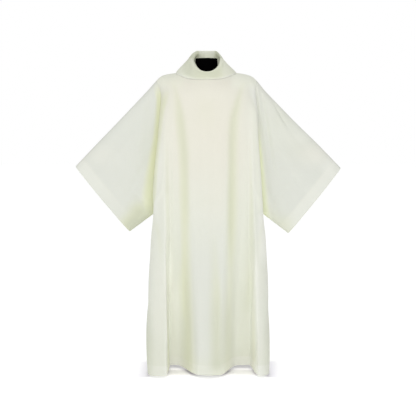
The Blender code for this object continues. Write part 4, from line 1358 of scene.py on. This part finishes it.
def line_beside_edge(P, N, distance):
    """The line on the cloth's face that keeps this distance from the last edge."""
    run = down_run(P[::-1])
    up_P, up_N = P[::-1], N[::-1]
    line, up = [], []
    for i in range(P.shape[1]):
        k = max(1, int(np.searchsorted(run[:, i], distance)))
        t = (distance - run[k - 1, i]) / (run[k, i] - run[k - 1, i])
        line.append(up_P[k - 1, i] * (1 - t) + up_P[k, i] * t)
        up.append(up_N[k - 1, i] * (1 - t) + up_N[k, i] * t)
    up = unit(np.array(up))
    return np.array(line) + up * (SHELL / 2), up


def main():
    camera_and_light()
    cloth = woven("ivory_cloth_woven", IVORY, IVORY_PALE, IVORY_WARM_AND_LIT, IVORY_YELLOW_SHADE)
    thread = thread_look()
    black = jersey_look()
    steel = steel_look()
    paint = paint_look()

    front, front_tone = body_panel(-1, FRONT_VALLEYS, FRONT_COLUMNS, FRONT_FOLDS, FRONT_WAVES)
    back, back_tone = body_panel(1, BACK_VALLEYS, BACK_COLUMNS, BACK_FOLDS, BACK_WAVES)
    made = {}
    for name, facing, P, tone in (("front", -1, front, front_tone), ("back", 1, back, back_tone)):
        s = across_run(P)
        edge = np.minimum(s, s[:, -1:] - s)
        X, Z = P[..., 0], P[..., 2]
        # painted yellow shade where the cloth turns in to the armhole, painted cool shade low on the body, and painted
        # light for a paler, warmer chest
        starts = np.where(X < 0, 1.37, 1.22)
        turn = 0.081 - 0.074 * (Z - 0.873)
        wide = smooth((Z - 0.785) / 0.08)
        left = 1 - smooth((edge - turn - 0.001 - 0.016 * wide) / (0.010 + 0.018 * wide))
        left = np.where(X < 0, left * smooth((Z - 0.74) / 0.08) * smooth((starts - Z) / 0.10), 0.0)
        right = 1 - smooth((edge - 0.004) / 0.016)
        crease = np.where(X < 0, 0.70 * left, right * smooth((Z - 0.74) / 0.08) * smooth((starts - Z) / 0.10))
        tone["dim"] += left * (0.45 - 0.28 * smooth((Z - 0.92) / 0.08))
        tone["crease"] = np.maximum(crease, tone["crease"])
        tone["cool"] = 0.75 * np.exp(-((X + 0.004) / 0.13) ** 4) * smooth((0.85 - Z) / 0.4) * smooth((Z - 0.05) / 0.08)
        if facing < 0:
            # painted shade low at the front's middle
            tone["dim"] += 0.30 * np.exp(-((X + 0.010) / 0.100) ** 4) * smooth((0.15 - Z) / 0.13)
            tone["dim"] += 0.50 * np.exp(-((X - 0.040) / 0.034) ** 2) * smooth((0.46 - Z) / 0.2) * smooth((Z - 0.03) / 0.04)
        tone["glow"] = 0.55 * np.exp(-((X + 0.004) / 0.21) ** 4) * smooth((Z - 0.62) / 0.55) * smooth((1.43 - Z) / 0.05)
        made[name] = panel(name, facing, P, cloth, **tone)
    tubes = {}
    for name, side, *cuff in SLEEVES:
        made[name], tubes[name] = sleeve(name, side, cuff, front, back, cloth)
    made["collar"], fall = collar(front, back, cloth)

    rows = {}
    for name, P, flip in (("front", front, True), ("back", back, False)):
        N = normals(P, False, flip)
        k = len(P) - len(HEM_STEPS) + HEM_STEPS.index(0.046)
        line, up = P[k] + N[k] * (SHELL / 2), N[k]
        rows[name] = stitches("stitches_hem_" + name, line, up, thread, False)
    for name, side, *cuff in SLEEVES:
        P = tubes[name]
        line, up = line_beside_edge(P, normals(P, True, side < 0), CUFF_DEPTH - 0.002)
        rows[name] = stitches("stitches_cuff_" + name, line, up, thread, True)
    line, up = line_beside_edge(fall, normals(fall, True, True), COLLAR_DEPTH - 0.002)
    rows["collar"] = stitches("stitches_collar", line, up, thread, True)

    form = dress_form(black)
    cap = turned_piece(
        "form_neck_cap",
        [(0.0500, 1.4892), (0.0515, 1.4897), (0.0520, 1.4905), (0.0520, 1.4935), (0.0514, 1.4945), (0.0500, 1.4950), (0.030, 1.4950)],
        black, x=FORM_X, oval=0.952,
    )
    socket = turned_piece(
        "stand_socket",
        [(0.0129, 0.0106), (0.034, 0.0106), (0.0345, 0.0125), (0.033, 0.0140), (0.022, 0.0160), (0.0185, 0.0200), (0.0180, 0.0500), (0.0170, 0.0520), (0.0129, 0.0520)],
        steel,
    )
    flange = turned_piece(
        "form_flange",
        [(0.0129, 0.7300), (0.0175, 0.7300), (0.0185, 0.7320), (0.0190, 0.7500), (0.048, 0.7545), (0.050, 0.7560), (0.050, 0.7592), (0.0129, 0.7592)],
        steel,
    )
    pieces = [*made.values(), *rows.values(), form, cap, socket, flange]
    for piece in pieces:
        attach(piece, "root")
    for node, look in (("stand_pole", steel), ("stand_base", paint)):
        bpy.data.objects[node].material_slots[0].material = look

    # The cut of each piece: its width and length flat, with its hem and allowances
    for name in ("front", "back"):
        P = front if name == "front" else back
        wide = float(across_run(P)[-1, -1]) + 2 * ALLOWANCE
        long = float(np.max(down_run(P)[-1])) + HEM_DEPTH + ALLOWANCE
        print("cut", name, round(wide, 3), round(long, 3), "area", round(area_of(P) + HEM_DEPTH * wide, 3))
        area_of(P) + (HEM_DEPTH + 0.01) * wide + 2 * ALLOWANCE * long
    for name, side, *cuff in SLEEVES:
        P = tubes[name]
        wide = float(run_along(np.concatenate([P[-1], P[-1][:1]]))[-1])
        long = float(np.max(down_run(P)[-1])) + CUFF_DEPTH
        print("cut", name, round(wide, 3), round(long, 3), "area", round(area_of(P, True) + CUFF_DEPTH * wide, 3))
        wide = max(wide, float(max(run_along(np.concatenate([row, row[:1]]))[-1] for row in P)))
        min(area_of(P, True) + CUFF_DEPTH * wide, wide * long)
    wide = float(run_along(np.concatenate([fall[-1], fall[-1][:1]]))[-1])
    long = float(np.max(down_run(fall)[-1])) + COLLAR_DEPTH
    print("cut collar", round(wide, 3), round(long, 3), "area", round(area_of(fall, True) + COLLAR_DEPTH * wide, 3))
    min(area_of(fall, True) + COLLAR_DEPTH * wide, wide * long)


main()
